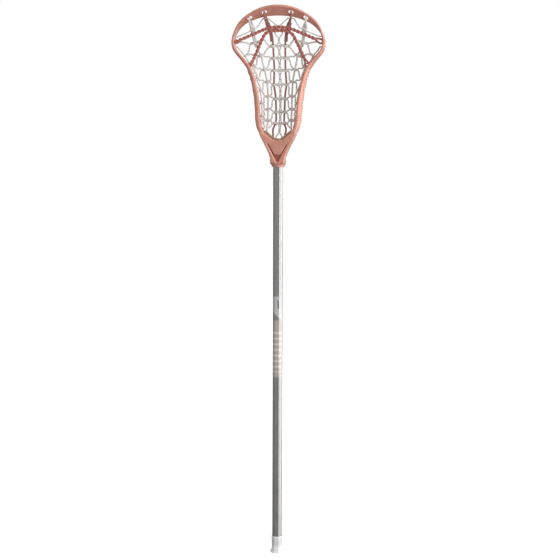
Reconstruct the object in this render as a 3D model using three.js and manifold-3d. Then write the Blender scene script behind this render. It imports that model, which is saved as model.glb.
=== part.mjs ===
// Lacrosse stick (women's pattern): a moulded head on an octagonal alloy handle, with a hand-woven
// pocket of thongs, cross lacing and shooting strings, a foam ball stop, the screw that locks the
// head to the handle and a rubber butt cap.
// Millimetres, +Z up along the handle. The origin is at the middle of the butt cap's bottom face.
// The open front of the head, the side the ball enters, faces -Y. The pocket hangs towards +Y.
import * as THREE from 'three';
import { mergeVertices } from 'three/addons/utils/BufferGeometryUtils.js';
import Module from 'manifold-3d';

const wasm = await Module();
wasm.setup();

// Handle and butt cap
const SHAFT_RADIUS = 10.4; // axis to a corner of the octagon, which has a flat side to the front
const SHAFT_WALL = 1.3;
const SHAFT_BOTTOM = 4.9;
const SHAFT_TOP = 830.6;
const CAP_FLOOR = 4.5;
const CAP_FLANGE_RADIUS = 14.9;
const CAP_FLANGE_HEIGHT = 3.2;
const CAP_SLEEVE_RADIUS = 11.6;
const CAP_SLEEVE_TOP = 35.5;
const CAP_CLEARANCE = 0.35;

// Socket at the bottom of the head
const SOCKET_BOTTOM = 791.5;
const SOCKET_TOP = 831.5;
const SOCKET_CLEARANCE = 0.4;
const THROAT_FRONT = -16.6;
const THROAT_BACK = 16.8;

// Screw through the back of the socket
const SCREW_HEIGHT = 818;
const SCREW_HEAD_RADIUS = 3.9;
const SCREW_HEAD_THICK = 2.4;
const SCREW_SHANK_RADIUS = 1.9;
const SCREW_TIP = 6.6;
const SCREW_SEAT = 13.9;

// Strings
const THONG_RADIUS = 1.7;
const LACE_RADIUS = 1.1;
const CENTRE_RADIUS = 1.2;
const SHOOTER_RADIUS = 2.4;
const BEHIND_THONG = 3.8;
const AHEAD_OF_THONG = -5;
const KNOT_RADIUS = 2.8;
const LONGEST_STEP = 15;
const SHARPEST_TURN = 0.5; // radians between neighbouring rings of a string

// Outer edge of the head's rim, right half, from the bottom of the ball stop to the scoop's tip: [x, z]
const RIM = [
  [0, 833.5], [10, 835.2], [18, 840.2], [26.5, 847.2], [34, 854], [38.6, 861.5], [41.6, 868.8],
  [44.1, 882], [45, 897.3], [46.4, 914.3], [48, 929.3], [50.4, 942.6], [53.6, 957.6], [57.1, 969],
  [61.6, 980.2], [67.4, 988.5], [75, 998], [82.9, 1007.2], [87.8, 1015], [90, 1023], [90.2, 1031],
  [88.4, 1039.8], [84.8, 1049], [79, 1059.8], [71, 1069.5], [62, 1076.8],
  [51.8, 1083.2], [40.8, 1088.8], [29.8, 1092.9], [15, 1096], [0, 1097],
];
const RIM_STATIONS = 36; // on each half

// How far forward the rim's front face is, by height
const RIM_FRONT = [
  [833, -16.6], [870, -15.5], [905, -11], [940, -8.5], [975, -7.6], [1010, -9], [1040, -13],
  [1070, -19.5], [1097, -25],
];

// Sections of the rim, front bead to back rail: [distance in from the outer edge, distance back]
const SECTIONS = [
  { height: 833.5, outline: [
    [2.2, 0], [0, 2.2], [0, 8], [0, 12], [0, 22], [0, 26], [0, 31.2], [2.2, 33.4],
    [7.3, 33.4], [9.5, 31], [9.5, 27], [9.5, 22], [9.5, 10], [9.5, 6], [9.5, 2.2], [7.3, 0]] },
  { height: 853, outline: [
    [2.2, 0], [0, 2.2], [0, 8], [0, 12], [0, 22], [0, 26], [0, 31.2], [2.2, 33.4],
    [7.3, 33.4], [9.5, 31], [9.5, 27], [9.5, 22], [9.5, 10], [9.5, 6], [9.5, 2.2], [7.3, 0]] },
  { height: 874, outline: [
    [2.2, 0], [0, 2.2], [0, 5], [1.8, 7.6], [1.8, 21.5], [0.2, 24], [0.2, 30.2], [2, 32.6],
    [6.4, 32.6], [8.2, 30.4], [8.2, 25.5], [6.2, 23.5], [6.6, 7.8], [9.8, 5], [9.8, 2.2], [7.6, 0]] },
  { height: 910, outline: [
    [2.2, 0], [0, 2.2], [0, 5], [2, 7.6], [1.4, 20], [-0.8, 22.6], [-0.8, 28.4], [1, 30.6],
    [5.6, 30.6], [7.4, 28.6], [7.4, 24.5], [5.6, 22.5], [6.6, 7.8], [10, 5], [10, 2.2], [7.8, 0]] },
  { height: 962, outline: [
    [2, 0], [0, 2], [0, 4.6], [1.8, 7], [1.2, 17.8], [-0.9, 20.2], [-0.9, 26], [0.8, 28],
    [4.6, 28], [6.2, 26], [6.2, 21.8], [4.8, 20], [5.8, 7.2], [8.6, 4.8], [8.6, 2], [6.6, 0]] },
  { height: 1006, outline: [
    [1.8, 0], [0, 1.8], [0, 4.2], [1.5, 6.2], [1, 13.6], [-0.6, 15.4], [-0.6, 20.4], [0.8, 22],
    [4.2, 22], [5.6, 20.4], [5.6, 16.8], [4.4, 15.4], [4.8, 6.4], [6.6, 4.4], [6.6, 1.8], [5, 0]] },
  { height: 1047, outline: [
    [1.5, 0], [0, 1.5], [0, 4], [0.6, 6], [0.8, 12.8], [0.4, 14], [0.4, 17.4], [1.6, 19],
    [4.4, 19], [5.6, 17.4], [5.6, 14], [4.4, 12.8], [4.2, 6.4], [4.8, 4.2], [4.8, 1.5], [3.4, 0]] },
  { height: 1075, outline: [
    [1.8, 0], [0, 1.6], [0, 3.6], [1.4, 5.6], [4.6, 8.8], [6.6, 11], [8, 13], [9.2, 14],
    [10.6, 14], [12, 12.8], [12, 11], [10.8, 9.6], [8.8, 7.2], [6.2, 4], [4.8, 1.8], [3.8, 0]] },
  { height: 1097, outline: [
    [2.2, 0], [0, 1.6], [0, 3.6], [2, 5.8], [9.4, 10.2], [12.4, 12.4], [13.6, 14.6], [15.2, 16],
    [17.8, 16], [19.5, 14.6], [19.5, 12], [18, 10.4], [14.6, 8.6], [9, 5], [6, 2.4], [4.4, 0]] },
];

// Holes through the side walls, by height: pairs for the sidewall string's stitches, its two ends,
// the shooting strings and the top string
const STITCH_HEIGHTS = [972, 959.5, 938, 913.5, 888.5];
const STITCH_HALF = 3.5;
const STITCH_HOLE_RADIUS = 1.6;
const SIDE_STRING_TOP = 1017.5;
const SIDE_STRING_BOTTOM = 872;
const TOP_STRING_HEIGHT = 1041.5;
const UPPER_SHOOTER_HEIGHT = 1030.5;
const LOWER_SHOOTER_HEIGHT = 982;
const SMALL_HOLE_RADIUS = 2;
const SHOOTER_HOLE_RADIUS = 3.1;

// Slots through the scoop, right side: [x, z, turn about the depth axis in radians]
const INNER_SLOT = [25.4, 1083.5, 0.22];
const OUTER_SLOT = [53.6, 1073.1, 0.56];
const SLOT_LENGTH = 10;
const SLOT_WIDTH = 5.4;

// Holes through the floor of the ball stop, right side: [x, z of the floor, string radius]
const THROAT_HOLES = [[5.6, 843.6, CENTRE_RADIUS], [11.6, 845.6, THONG_RADIUS], [24, 857.6, THONG_RADIUS]];
const THROAT_HOLE_ENTRY = 10.5; // depth at which a string meets the floor
const THROAT_HOLE_SLOPE = new THREE.Vector3(0, 0.55, -0.835);

// The pocket: depth of the net along its middle and along the side walls, by height
const MIDDLE_DEPTH = [
  [838, 6], [850, 13], [860, 19.5], [870, 25], [882, 29.5], [895, 32.5], [920, 33], [950, 29],
  [975, 24], [1000, 17], [1025, 9], [1050, 1], [1075, -5.5], [1097, -9],
];
const EDGE_DEPTH = [
  [838, 4], [850, 6], [866, 8.5], [888, 11], [913, 12.5], [938, 13.5], [960, 12.5], [985, 9.5],
  [1000, 6.5], [1020, 2], [1037, -2.5], [1060, -8],
];
const POCKET_HALF_WIDTH = [
  [838, 18], [850, 24], [857, 28], [869, 33], [882, 35], [897, 36.5], [914, 38], [929, 40],
  [942, 42.5], [957, 46.5], [969, 50], [980, 55], [988, 61], [998, 68], [1007, 76], [1020, 82],
  [1040, 80], [1060, 76], [1097, 70],
];

// The lacing makes a honeycomb. Each lace runs doubled from a cell's corner to its hook.
const MIDDLE_ROWS = [1022.6, 1000, 977, 949.6, 922.8, 897.2, 875];
const MIDDLE_GAPS = [3.4, 3.2, 3.2, 3.6, 2.8, 2.4, 2.4]; // half-width of the eye between the centre laces
const MIDDLE_CORNERS = [21, 18.7, 17.4, 16.4, 14.8, 14.2, 16];
const THONG_ROWS = [1004.9, 979, 955.6, 927.9, 902.8, 881];
const THONG_CORNER_IN = 6; // from the outer thong to the corner on each side of it
const THONG_CORNER_OUT = 6.8;
const THONG_TILTS = [1.4, 1.6, 0.4, 0.4, 0.7, 0.7]; // how much higher the inner corner is than the row
const SIDE_HOOKS = [[47.9, 983.8], [42.5, 961.1], [36.2, 938.2], [33.7, 913.5], [32.7, 888.5]];
const INNER_THONG_LINE = [
  [847, 12], [852, 13.6], [857, 14.4], [864, 12.8], [872, 9.8], [880, 8], [893, 8.2], [909, 8.6], [922.5, 9],
  [934, 10], [943, 11.4], [949.6, 12.1], [959, 12], [972, 11.1], [985, 10.9], [1000, 11.3], [1022.6, 11.8],
  [1034, 12.2], [1043, 13.2], [1050, 15], [1057.6, 17.3], [1066, 20.3],
];
const OUTER_THONG_LINE = [
  [857, 24.2], [869, 24], [881, 23.2], [903, 23.5], [928, 23.7], [955.6, 25.3], [965, 26.8], [979, 29.9],
  [992.7, 33], [1004.9, 35.6], [1011, 39], [1018, 42], [1026, 43.8], [1037, 46], [1050, 48], [1062, 49.8],
];
const UPPER_SHOOTER_LINE = [
  [75, 1033], [69, 1035.2], [54, 1041.6], [38.4, 1048], [30.7, 1051.2], [23, 1053.8], [14, 1056], [0, 1056.8],
];
const LOWER_SHOOTER_LINE = [
  [51, 995], [43.8, 1010], [36.3, 1025.9], [29.8, 1038.8], [25, 1045], [18.6, 1048.8], [10, 1050.3], [0, 1050.6],
];

// ---- small helpers -------------------------------------------------------------------------

function between(table, at) {
  if (at <= table[0][0]) return table[0][1];
  for (let i = 1; i < table.length; i += 1) {
    if (at <= table[i][0]) {
      const share = (at - table[i - 1][0]) / (table[i][0] - table[i - 1][0]);
      return THREE.MathUtils.lerp(table[i - 1][1], table[i][1], share);
    }
  }
  return table[table.length - 1][1];
}

function volumeOf(positions, index) {
  const a = new THREE.Vector3();
  const b = new THREE.Vector3();
  const c = new THREE.Vector3();
  let total = 0;
  for (let i = 0; i < index.length; i += 3) {
    a.fromArray(positions, 3 * index[i]);
    b.fromArray(positions, 3 * index[i + 1]);
    c.fromArray(positions, 3 * index[i + 2]);
    total += a.dot(b.cross(c)) / 6;
  }
  return total;
}

function meshGeometry(positions, index) {
  if (volumeOf(positions, index) < 0) {
    for (let i = 0; i < index.length; i += 3) {
      [index[i], index[i + 1]] = [index[i + 1], index[i]];
    }
  }
  const geometry = new THREE.BufferGeometry();
  geometry.setAttribute('position', new THREE.Float32BufferAttribute(positions, 3));
  geometry.setIndex(index);
  return geometry;
}

// Skins equal rings of points. A closed loop joins the last ring to the first, and an open one
// gets a fan over each end.
function skin(rings, closed) {
  const sides = rings[0].length;
  const positions = rings.flat().flatMap((p) => [p.x, p.y, p.z]);
  const index = [];
  const spans = closed ? rings.length : rings.length - 1;
  for (let i = 0; i < spans; i += 1) {
    const here = i * sides;
    const next = ((i + 1) % rings.length) * sides;
    for (let k = 0; k < sides; k += 1) {
      const m = (k + 1) % sides;
      index.push(here + k, here + m, next + k);
      index.push(here + m, next + m, next + k);
    }
  }
  if (!closed) {
    for (const [ring, flip] of [[0, true], [rings.length - 1, false]]) {
      const middle = new THREE.Vector3();
      rings[ring].forEach((p) => middle.addScaledVector(p, 1 / sides));
      const tip = positions.length / 3;
      positions.push(middle.x, middle.y, middle.z);
      for (let k = 0; k < sides; k += 1) {
        const from = ring * sides + k;
        const to = ring * sides + (k + 1) % sides;
        index.push(tip, flip ? to : from, flip ? from : to);
      }
    }
  }
  return meshGeometry(positions, index);
}

function welded(geometry) {
  const bare = geometry.clone();
  bare.deleteAttribute('normal');
  bare.deleteAttribute('uv');
  return mergeVertices(bare, 1e-4);
}

function solid(geometry) {
  const bare = welded(geometry);
  return new wasm.Manifold(new wasm.Mesh({
    numProp: 3,
    vertProperties: new Float32Array(bare.attributes.position.array),
    triVerts: new Uint32Array(bare.index.array),
  }));
}

function geometryOf(body) {
  const mesh = body.getMesh();
  const geometry = new THREE.BufferGeometry();
  geometry.setAttribute('position', new THREE.BufferAttribute(new Float32Array(mesh.vertProperties), 3));
  geometry.setIndex(new THREE.BufferAttribute(new Uint32Array(mesh.triVerts), 1));
  return geometry;
}

function mirrored(geometry) {
  const positions = Array.from(geometry.attributes.position.array);
  for (let i = 0; i < positions.length; i += 3) positions[i] *= -1;
  return meshGeometry(positions, Array.from(geometry.index.array));
}

// A prism whose outline is drawn in the X-Z plane, running from one depth to another.
function slab(outline, front, back, options = {}) {
  const shape = new THREE.Shape(outline.map(([x, z]) => new THREE.Vector2(x, z)));
  const geometry = new THREE.ExtrudeGeometry(shape, { depth: back - front, bevelEnabled: false, ...options });
  geometry.rotateX(Math.PI / 2);
  geometry.translate(0, back, 0);
  return geometry;
}

function bothSides(half) {
  const other = half.filter(([x]) => x > 0).map(([x, z]) => [-x, z]).reverse();
  return [...half, ...other];
}

function octagon(radius) {
  return Array.from({ length: 8 }, (_, k) => {
    const turn = (k - 1.5) * Math.PI / 4;
    return new THREE.Vector2(radius * Math.cos(turn), radius * Math.sin(turn));
  });
}

function upright(shape, bottom, top) {
  const geometry = new THREE.ExtrudeGeometry(shape, { depth: top - bottom, bevelEnabled: false });
  geometry.translate(0, 0, bottom);
  return geometry;
}

function rod(from, to, radius, sides) {
  const along = to.clone().sub(from);
  const geometry = new THREE.CylinderGeometry(radius, radius, along.length(), sides);
  geometry.applyQuaternion(new THREE.Quaternion().setFromUnitVectors(
    new THREE.Vector3(0, 1, 0), along.clone().normalize()));
  const middle = from.clone().add(to).multiplyScalar(0.5);
  geometry.translate(middle.x, middle.y, middle.z);
  return geometry;
}

// ---- the rim of the head -------------------------------------------------------------------

const rimCurve = new THREE.CatmullRomCurve3(
  [...RIM, ...RIM.slice(1, -1).map(([x, z]) => [-x, z]).reverse()].map(([x, z]) => new THREE.Vector3(x, 0, z)),
  true, 'centripetal');
const RIM_FINE = 1200;
const rimPoints = rimCurve.getSpacedPoints(RIM_FINE);

function rimStation(i) {
  const at = rimPoints[i % RIM_FINE];
  const before = rimPoints[(i - 4 + RIM_FINE) % RIM_FINE];
  const after = rimPoints[(i + 4) % RIM_FINE];
  const along = after.clone().sub(before).normalize();
  return { at, inward: new THREE.Vector3(-along.z, 0, along.x) };
}

function sectionAt(height) {
  let k = 1;
  while (k < SECTIONS.length - 1 && height > SECTIONS[k].height) k += 1;
  const low = SECTIONS[k - 1];
  const high = SECTIONS[k];
  const share = THREE.MathUtils.clamp((height - low.height) / (high.height - low.height), 0, 1);
  return low.outline.map(([n, d], i) => [
    THREE.MathUtils.lerp(n, high.outline[i][0], share),
    THREE.MathUtils.lerp(d, high.outline[i][1], share)]);
}

function rimPlace(station, inset, back) {
  const place = station.at.clone().addScaledVector(station.inward, inset);
  place.y = between(RIM_FRONT, station.at.z) + back;
  return place;
}

function rimRing(i) {
  const station = rimStation(i);
  return sectionAt(station.at.z).map(([n, d]) => rimPlace(station, n, d));
}

function stationIndexes() {
  const list = [];
  for (let k = 0; k < 2 * RIM_STATIONS; k += 1) list.push(Math.round(k * RIM_FINE / (2 * RIM_STATIONS)));
  return list;
}

// The station of the right side wall whose outer edge is at a height.
function wallStation(height) {
  for (let i = 1; i < RIM_FINE / 2; i += 1) {
    if (rimPoints[i].x > 0 && rimPoints[i].z >= height) return rimStation(i);
  }
  return rimStation(RIM_FINE / 2);
}

// A hole lies in the thin web between the front bead and the back rail.
function wallHoleDepth(station) {
  const outline = sectionAt(station.at.z);
  return THREE.MathUtils.lerp(outline[3][1], outline[4][1], 0.56);
}

function wallPoint(height, inset) {
  const station = wallStation(height);
  return rimPlace(station, inset, wallHoleDepth(station));
}

// ---- the pocket's surface ------------------------------------------------------------------

function netDepth(x, z) {
  const share = Math.min(1, Math.abs(x) / between(POCKET_HALF_WIDTH, z));
  const edge = between(EDGE_DEPTH, z);
  return edge + (between(MIDDLE_DEPTH, z) - edge) * (1 - share ** 2.2);
}

function net(x, z, lift = 0) {
  return new THREE.Vector3(x, netDepth(x, z) + lift, z);
}

// ---- strings -------------------------------------------------------------------------------

// Points along a smooth curve, close together only where it turns.
function route(points) {
  const curve = new THREE.CatmullRomCurve3(points, false, 'centripetal');
  const fine = curve.getSpacedPoints(Math.ceil(curve.getLength() / 0.7));
  const chosen = [fine[0]];
  let heading = fine[1].clone().sub(fine[0]).normalize();
  let last = fine[0];
  for (let i = 1; i < fine.length - 1; i += 1) {
    const now = fine[i + 1].clone().sub(fine[i - 1]).normalize();
    if (now.angleTo(heading) > SHARPEST_TURN || fine[i].distanceTo(last) > LONGEST_STEP) {
      chosen.push(fine[i]);
      heading = now;
      last = fine[i];
    }
  }
  if (chosen[chosen.length - 1].distanceTo(fine[fine.length - 1]) < 1) chosen.pop();
  chosen.push(fine[fine.length - 1]);
  return chosen;
}

// A string with a round section. A knot is a bulb past the end of its path.
function string(points, radius, sides, knotStart = 0, knotEnd = 0) {
  const path = route(points).map((p) => ({ p, r: radius }));
  const bulb = [[0.6, 0.7], [1.7, 1], [3.2, 1], [4.6, 0.45]];
  if (knotEnd > 0) {
    const end = path[path.length - 1].p;
    const out = end.clone().sub(path[path.length - 2].p).normalize();
    bulb.forEach(([far, size]) => path.push({
      p: end.clone().addScaledVector(out, far), r: Math.max(radius * 0.8, knotEnd * size) }));
  }
  if (knotStart > 0) {
    const end = path[0].p;
    const out = end.clone().sub(path[1].p).normalize();
    bulb.forEach(([far, size]) => path.unshift({
      p: end.clone().addScaledVector(out, far), r: Math.max(radius * 0.8, knotStart * size) }));
  }
  const along = path.map((_, i) => {
    const before = path[Math.max(0, i - 1)].p;
    const after = path[Math.min(path.length - 1, i + 1)].p;
    return after.clone().sub(before).normalize();
  });
  const side = new THREE.Vector3(0, 1, 0);
  if (Math.abs(along[0].y) > 0.8) side.set(1, 0, 0);
  const rings = path.map(({ p, r }, i) => {
    side.addScaledVector(along[i], -side.dot(along[i])).normalize();
    const up = along[i].clone().cross(side);
    return Array.from({ length: sides }, (_, k) => {
      const turn = 2 * Math.PI * k / sides;
      return p.clone().addScaledVector(side, r * Math.cos(turn)).addScaledVector(up, r * Math.sin(turn));
    });
  });
  return skin(rings, false);
}

// The last stretch of a thong or lace: forward over the floor of the ball stop, down through its
// slanted hole and out at the back of the throat.
function throatEnd([x, floor]) {
  const mouth = new THREE.Vector3(x, THROAT_HOLE_ENTRY, floor);
  const far = (THROAT_BACK + 1.6 - THROAT_HOLE_ENTRY) / THROAT_HOLE_SLOPE.y;
  return [
    new THREE.Vector3(x, THROAT_HOLE_ENTRY + 0.4, floor + 6.6),
    mouth.clone().addScaledVector(THROAT_HOLE_SLOPE, -2.6),
    mouth.clone().addScaledVector(THROAT_HOLE_SLOPE, 6),
    mouth.clone().addScaledVector(THROAT_HOLE_SLOPE, far),
  ];
}

// A thong is folded over the scoop's inner edge: its tail hangs in front, its long leg runs behind
// the scoop, down the pocket and into the throat.
function thong(slot, hole, line, tail) {
  const [x, z] = slot;
  const front = between(RIM_FRONT, z + 11);
  const inSlot = (y) => new THREE.Vector3(x, y, z);
  const heights = line.map(([height]) => height).filter((height) => height > hole[1] + 7).reverse();
  return string([
    ...tail,
    inSlot(front + 5),
    inSlot(front + 9.5),
    inSlot(front + 15.2),
    new THREE.Vector3(x - 0.4, front + 19.2, z - 2),
    new THREE.Vector3(x - 1.6, front + 20.6, z - 7),
    ...heights.map((height) => net(between(line, height), height)),
    ...throatEnd(hole),
  ], THONG_RADIUS, 7, 0, KNOT_RADIUS);
}

function innerThong() {
  const tail = [
    net(15.9, 1033), net(16.9, 1043.5), net(19.4, 1052, 0.4), net(21.5, 1058.6, 0), net(23, 1063, -3),
    net(24, 1067, -7.2),
    new THREE.Vector3(25, -17.4, 1073.5), new THREE.Vector3(25.4, -21.2, 1079.8),
  ];
  return thong(INNER_SLOT, THROAT_HOLES[1], INNER_THONG_LINE, tail);
}

function outerThong() {
  const tail = [
    net(47.5, 1024), net(49.7, 1036), net(51.6, 1046, 0.4), net(52, 1052, 0.3), net(52.5, 1057, -3),
    new THREE.Vector3(53.4, -15.8, 1063), new THREE.Vector3(53.6, -19.6, 1069.2),
  ];
  return thong(OUTER_SLOT, THROAT_HOLES[2], OUTER_THONG_LINE, tail);
}

// One of the two laces that twist round each other down the middle of the pocket.
function centreLace(side) {
  const points = [net(side * 7, 1057, 0.4), net(side * 6.6, 1048, 0.4)];
  MIDDLE_ROWS.forEach((row, k) => {
    const sign = side * (k % 2 ? -1 : 1);
    points.push(net(sign * MIDDLE_GAPS[k], row, 0));
    const next = MIDDLE_ROWS[k + 1] ?? 858;
    const middle = (row + next) / 2;
    const over = side * (k % 2 ? -2.05 : 2.05);
    points.push(net(sign * 1.3, middle + 2.6, over), net(0, middle, over), net(-sign * 1.3, middle - 2.6, over));
  });
  points.push(net(-side * 3.4, 856, 0));
  const end = throatEnd(THROAT_HOLES[0]).map((p) => new THREE.Vector3(-side * p.x, p.y, p.z));
  return string([...points, ...end], CENTRE_RADIUS, 6, 2, 2);
}

// A doubled link behind the net: in along one side of a row, round its end and out along the other.
function link(corner, cornerHeight, end, height) {
  const bend = Math.sign(corner - end) * 0.8;
  return [[corner, cornerHeight + 1.4], [end + bend, height + 1.4], [end, height], [end + bend, height - 1.4],
    [corner, cornerHeight - 1.4]].map(([x, z]) => net(x, z, BEHIND_THONG));
}

// The inner cross lace zigzags between the centre laces and the outer thong.
function innerCrossLace() {
  const points = [net(29.5, 1036.5, BEHIND_THONG)];
  MIDDLE_ROWS.forEach((row, k) => {
    points.push(...link(MIDDLE_CORNERS[k], row - 0.6, MIDDLE_GAPS[k] + 2.9, row));
    if (k < THONG_ROWS.length) {
      const rowBelow = THONG_ROWS[k];
      const thongAt = between(OUTER_THONG_LINE, rowBelow);
      points.push(...link(thongAt - THONG_CORNER_IN, rowBelow + THONG_TILTS[k], thongAt - 1.4, rowBelow));
    }
  });
  points.push(net(20.6, 871.6, BEHIND_THONG));
  return string(points, LACE_RADIUS, 5);
}

// The outer cross lace zigzags between the outer thong's rows and the sidewall string.
function outerCrossLace() {
  const points = [
    net(79, 1026.8, BEHIND_THONG), net(73, 1029, BEHIND_THONG), net(64, 1028.4, BEHIND_THONG),
    net(57, 1026, BEHIND_THONG), net(52.8, 1027.6, BEHIND_THONG), net(51.6, 1026, BEHIND_THONG),
    net(55.6, 1024, BEHIND_THONG), net(57.6, 1018, BEHIND_THONG), net(59.3, 1010, BEHIND_THONG),
    net(62.4, 1006.8, BEHIND_THONG), net(61.2, 1005, BEHIND_THONG), net(55.5, 1006.6, BEHIND_THONG),
    net(50, 1006, BEHIND_THONG),
  ];
  THONG_ROWS.forEach((row, k) => {
    const thongAt = between(OUTER_THONG_LINE, row);
    points.push(...link(thongAt + THONG_CORNER_OUT, row - THONG_TILTS[k], thongAt + 2, row));
    if (k < SIDE_HOOKS.length) {
      const [x, z] = SIDE_HOOKS[k];
      points.push(net(x - 2, z + 1.5, BEHIND_THONG - 1), net(x - 0.8, z, BEHIND_THONG - 1));
      points.push(net(x - 2, z - 1.5, BEHIND_THONG - 1));
    }
  });
  points.push(net(29, 872, BEHIND_THONG), net(28, 866.4, BEHIND_THONG));
  return string(points, LACE_RADIUS, 5);
}

// The sidewall string: through the wall at each end, and past each hook of the outer lace between.
function sidewallString() {
  const inside = [[69.6, 1008], [65.8, 1002.4], [60.6, 994], ...SIDE_HOOKS.map(([x, z]) => [x + 2.6, z])];
  return string([
    wallPoint(SIDE_STRING_TOP, 1), wallPoint(SIDE_STRING_TOP, 5), wallPoint(SIDE_STRING_TOP, 9),
    ...inside.map(([x, z]) => net(x, z)),
    wallPoint(SIDE_STRING_BOTTOM, 10.5), wallPoint(SIDE_STRING_BOTTOM, 6), wallPoint(SIDE_STRING_BOTTOM, 1),
  ], CENTRE_RADIUS, 6, 0, 2.1);
}

function acrossHead(half) {
  const left = half.map((p) => new THREE.Vector3(-p.x, p.y, p.z));
  const endsInTheMiddle = half[half.length - 1].x < 1e-6;
  const right = endsInTheMiddle ? half.slice(0, -1) : half;
  return [...left, ...right.reverse()];
}

// The thin top string: from wall to wall, and between the two strands of each inner hanger.
function topString() {
  return string(acrossHead([
    wallPoint(TOP_STRING_HEIGHT, 1), wallPoint(TOP_STRING_HEIGHT, 4), wallPoint(TOP_STRING_HEIGHT, 8),
    net(68, 1043.2, -3.6), net(60, 1046.4, -4.6), net(50, 1052, -5), net(44, 1053.8, -4.6),
    net(40.6, 1056, -3.4), new THREE.Vector3(32, -6.8, 1068.4), new THREE.Vector3(28, -7.6, 1071.4),
    new THREE.Vector3(18.8, -7.8, 1071.4), new THREE.Vector3(12.4, -8, 1067.2),
    net(6, 1062.4, -3), net(0, 1060, -3),
  ]), 1, 6);
}

function shootingString(height, points) {
  return string(acrossHead([
    wallPoint(height, 1), wallPoint(height, 4.5), wallPoint(height, 8.5),
    ...points.map(([x, z]) => net(x, z, AHEAD_OF_THONG)),
  ]), SHOOTER_RADIUS, 7);
}

// ---- the moulded head ----------------------------------------------------------------------

function rim() {
  return skin(stationIndexes().map(rimRing), true);
}

function collar() {
  const profile = [
    [0, 791.5], [12.5, 791.5], [13.1, 792.4], [13.3, 794.8], [15.2, 796.6], [16.2, 799.4], [16.2, 806],
    [15.4, 809.6], [12.8, 812.5], [0, 812.5],
  ].map(([r, z]) => new THREE.Vector2(r, z));
  const geometry = new THREE.LatheGeometry(profile, 24);
  return geometry.rotateX(Math.PI / 2);
}

function throatBody() {
  const outline = bothSides([
    [0, 799], [12.8, 799], [14.6, 810], [17.9, 819.2], [23.2, 830.6], [30.4, 844], [36.2, 856.2],
    [33, 860], [25.5, 853.4], [17.5, 846.4], [9, 840.4], [0, 839],
  ]);
  const bevel = 1.4;
  return slab(outline, THROAT_FRONT + bevel, THROAT_BACK - bevel, {
    bevelEnabled: true, bevelThickness: bevel, bevelSize: 1.2, bevelOffset: -1.2, bevelSegments: 2 });
}

function socketBore() {
  const shape = new THREE.Shape(octagon(SHAFT_RADIUS + SOCKET_CLEARANCE));
  return upright(shape, SOCKET_BOTTOM - 5, SOCKET_TOP);
}

// The shield-shaped plate on the front of the throat lies a little below the two rails beside it.
function plateRecess() {
  return slab(bothSides([
    [0, 801.8], [2.2, 802.6], [7.6, 812.8], [13.6, 824.4], [18.2, 833], [24.4, 844.6], [21.4, 845.8],
    [14.6, 840.6], [7.2, 837], [0, 836]]), THROAT_FRONT - 5, -14.7);
}

// A groove runs down each side of the plate and widens into a recess below it.
function plateGroove() {
  return slab(bothSides([
    [0, 801.8], [2.2, 802.6], [7.6, 812.8], [13.6, 824.4], [18.2, 833], [21.4, 839], [19.8, 839.8],
    [16.2, 833.6], [11.6, 825.2], [6.4, 816.4], [4.8, 815.4], [0, 815.4]]), THROAT_FRONT - 5, -11.4);
}

function rearPocket(side) {
  const outline = [[13.8, 818.4], [15.4, 818.4], [20.8, 829], [25.2, 837.6], [20, 838.4], [13.8, 833.5]]
    .map(([x, z]) => [side * x, z]);
  return slab(side > 0 ? outline : outline.reverse(), 4, THROAT_BACK + 5);
}

function scoopSlot([x, z, turn], side) {
  const half = (SLOT_LENGTH - SLOT_WIDTH) / 2;
  const shape = new THREE.Shape();
  shape.absarc(half, 0, SLOT_WIDTH / 2, -Math.PI / 2, Math.PI / 2, false);
  shape.absarc(-half, 0, SLOT_WIDTH / 2, Math.PI / 2, 3 * Math.PI / 2, false);
  const geometry = new THREE.ExtrudeGeometry(shape, { depth: 50, bevelEnabled: false, curveSegments: 4 });
  geometry.rotateX(Math.PI / 2);
  geometry.rotateY(side * turn);
  geometry.translate(side * x, 10, z);
  return geometry;
}

function wallHole(height, radius, sides = 8) {
  return rod(wallPoint(height, -6), wallPoint(height, 13), radius, sides);
}

function throatHole([x, floor, radius]) {
  const mouth = new THREE.Vector3(x, THROAT_HOLE_ENTRY, floor);
  return rod(mouth.clone().addScaledVector(THROAT_HOLE_SLOPE, -12),
    mouth.clone().addScaledVector(THROAT_HOLE_SLOPE, 26), radius + 0.8, 8);
}

function screwHole() {
  const at = (y) => new THREE.Vector3(0, y, SCREW_HEIGHT);
  return solid(rod(at(4), at(30), SCREW_SHANK_RADIUS + 0.45, 10))
    .add(solid(rod(at(SCREW_SEAT), at(30), SCREW_HEAD_RADIUS + 0.6, 16)));
}

function headFrame() {
  let body = solid(rim()).add(solid(throatBody())).add(solid(collar()));
  body = body.subtract(solid(socketBore())).subtract(solid(plateRecess())).subtract(solid(plateGroove()));
  body = body.subtract(screwHole());
  const sideHoles = [
    ...STITCH_HEIGHTS.flatMap((height) => [height + STITCH_HALF, height - STITCH_HALF])
      .map((height) => wallHole(height, STITCH_HOLE_RADIUS, 6)),
    ...[SIDE_STRING_TOP, SIDE_STRING_BOTTOM, TOP_STRING_HEIGHT]
      .map((height) => wallHole(height, SMALL_HOLE_RADIUS)),
    ...[UPPER_SHOOTER_HEIGHT, LOWER_SHOOTER_HEIGHT]
      .map((height) => wallHole(height, SHOOTER_HOLE_RADIUS)),
    ...THROAT_HOLES.map(throatHole),
  ];
  for (const hole of sideHoles) {
    body = body.subtract(solid(hole)).subtract(solid(mirrored(welded(hole))));
  }
  for (const side of [1, -1]) {
    body = body.subtract(solid(scoopSlot(INNER_SLOT, side))).subtract(solid(scoopSlot(OUTER_SLOT, side)));
    body = body.subtract(solid(rearPocket(side)));
  }
  return geometryOf(body);
}

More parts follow.
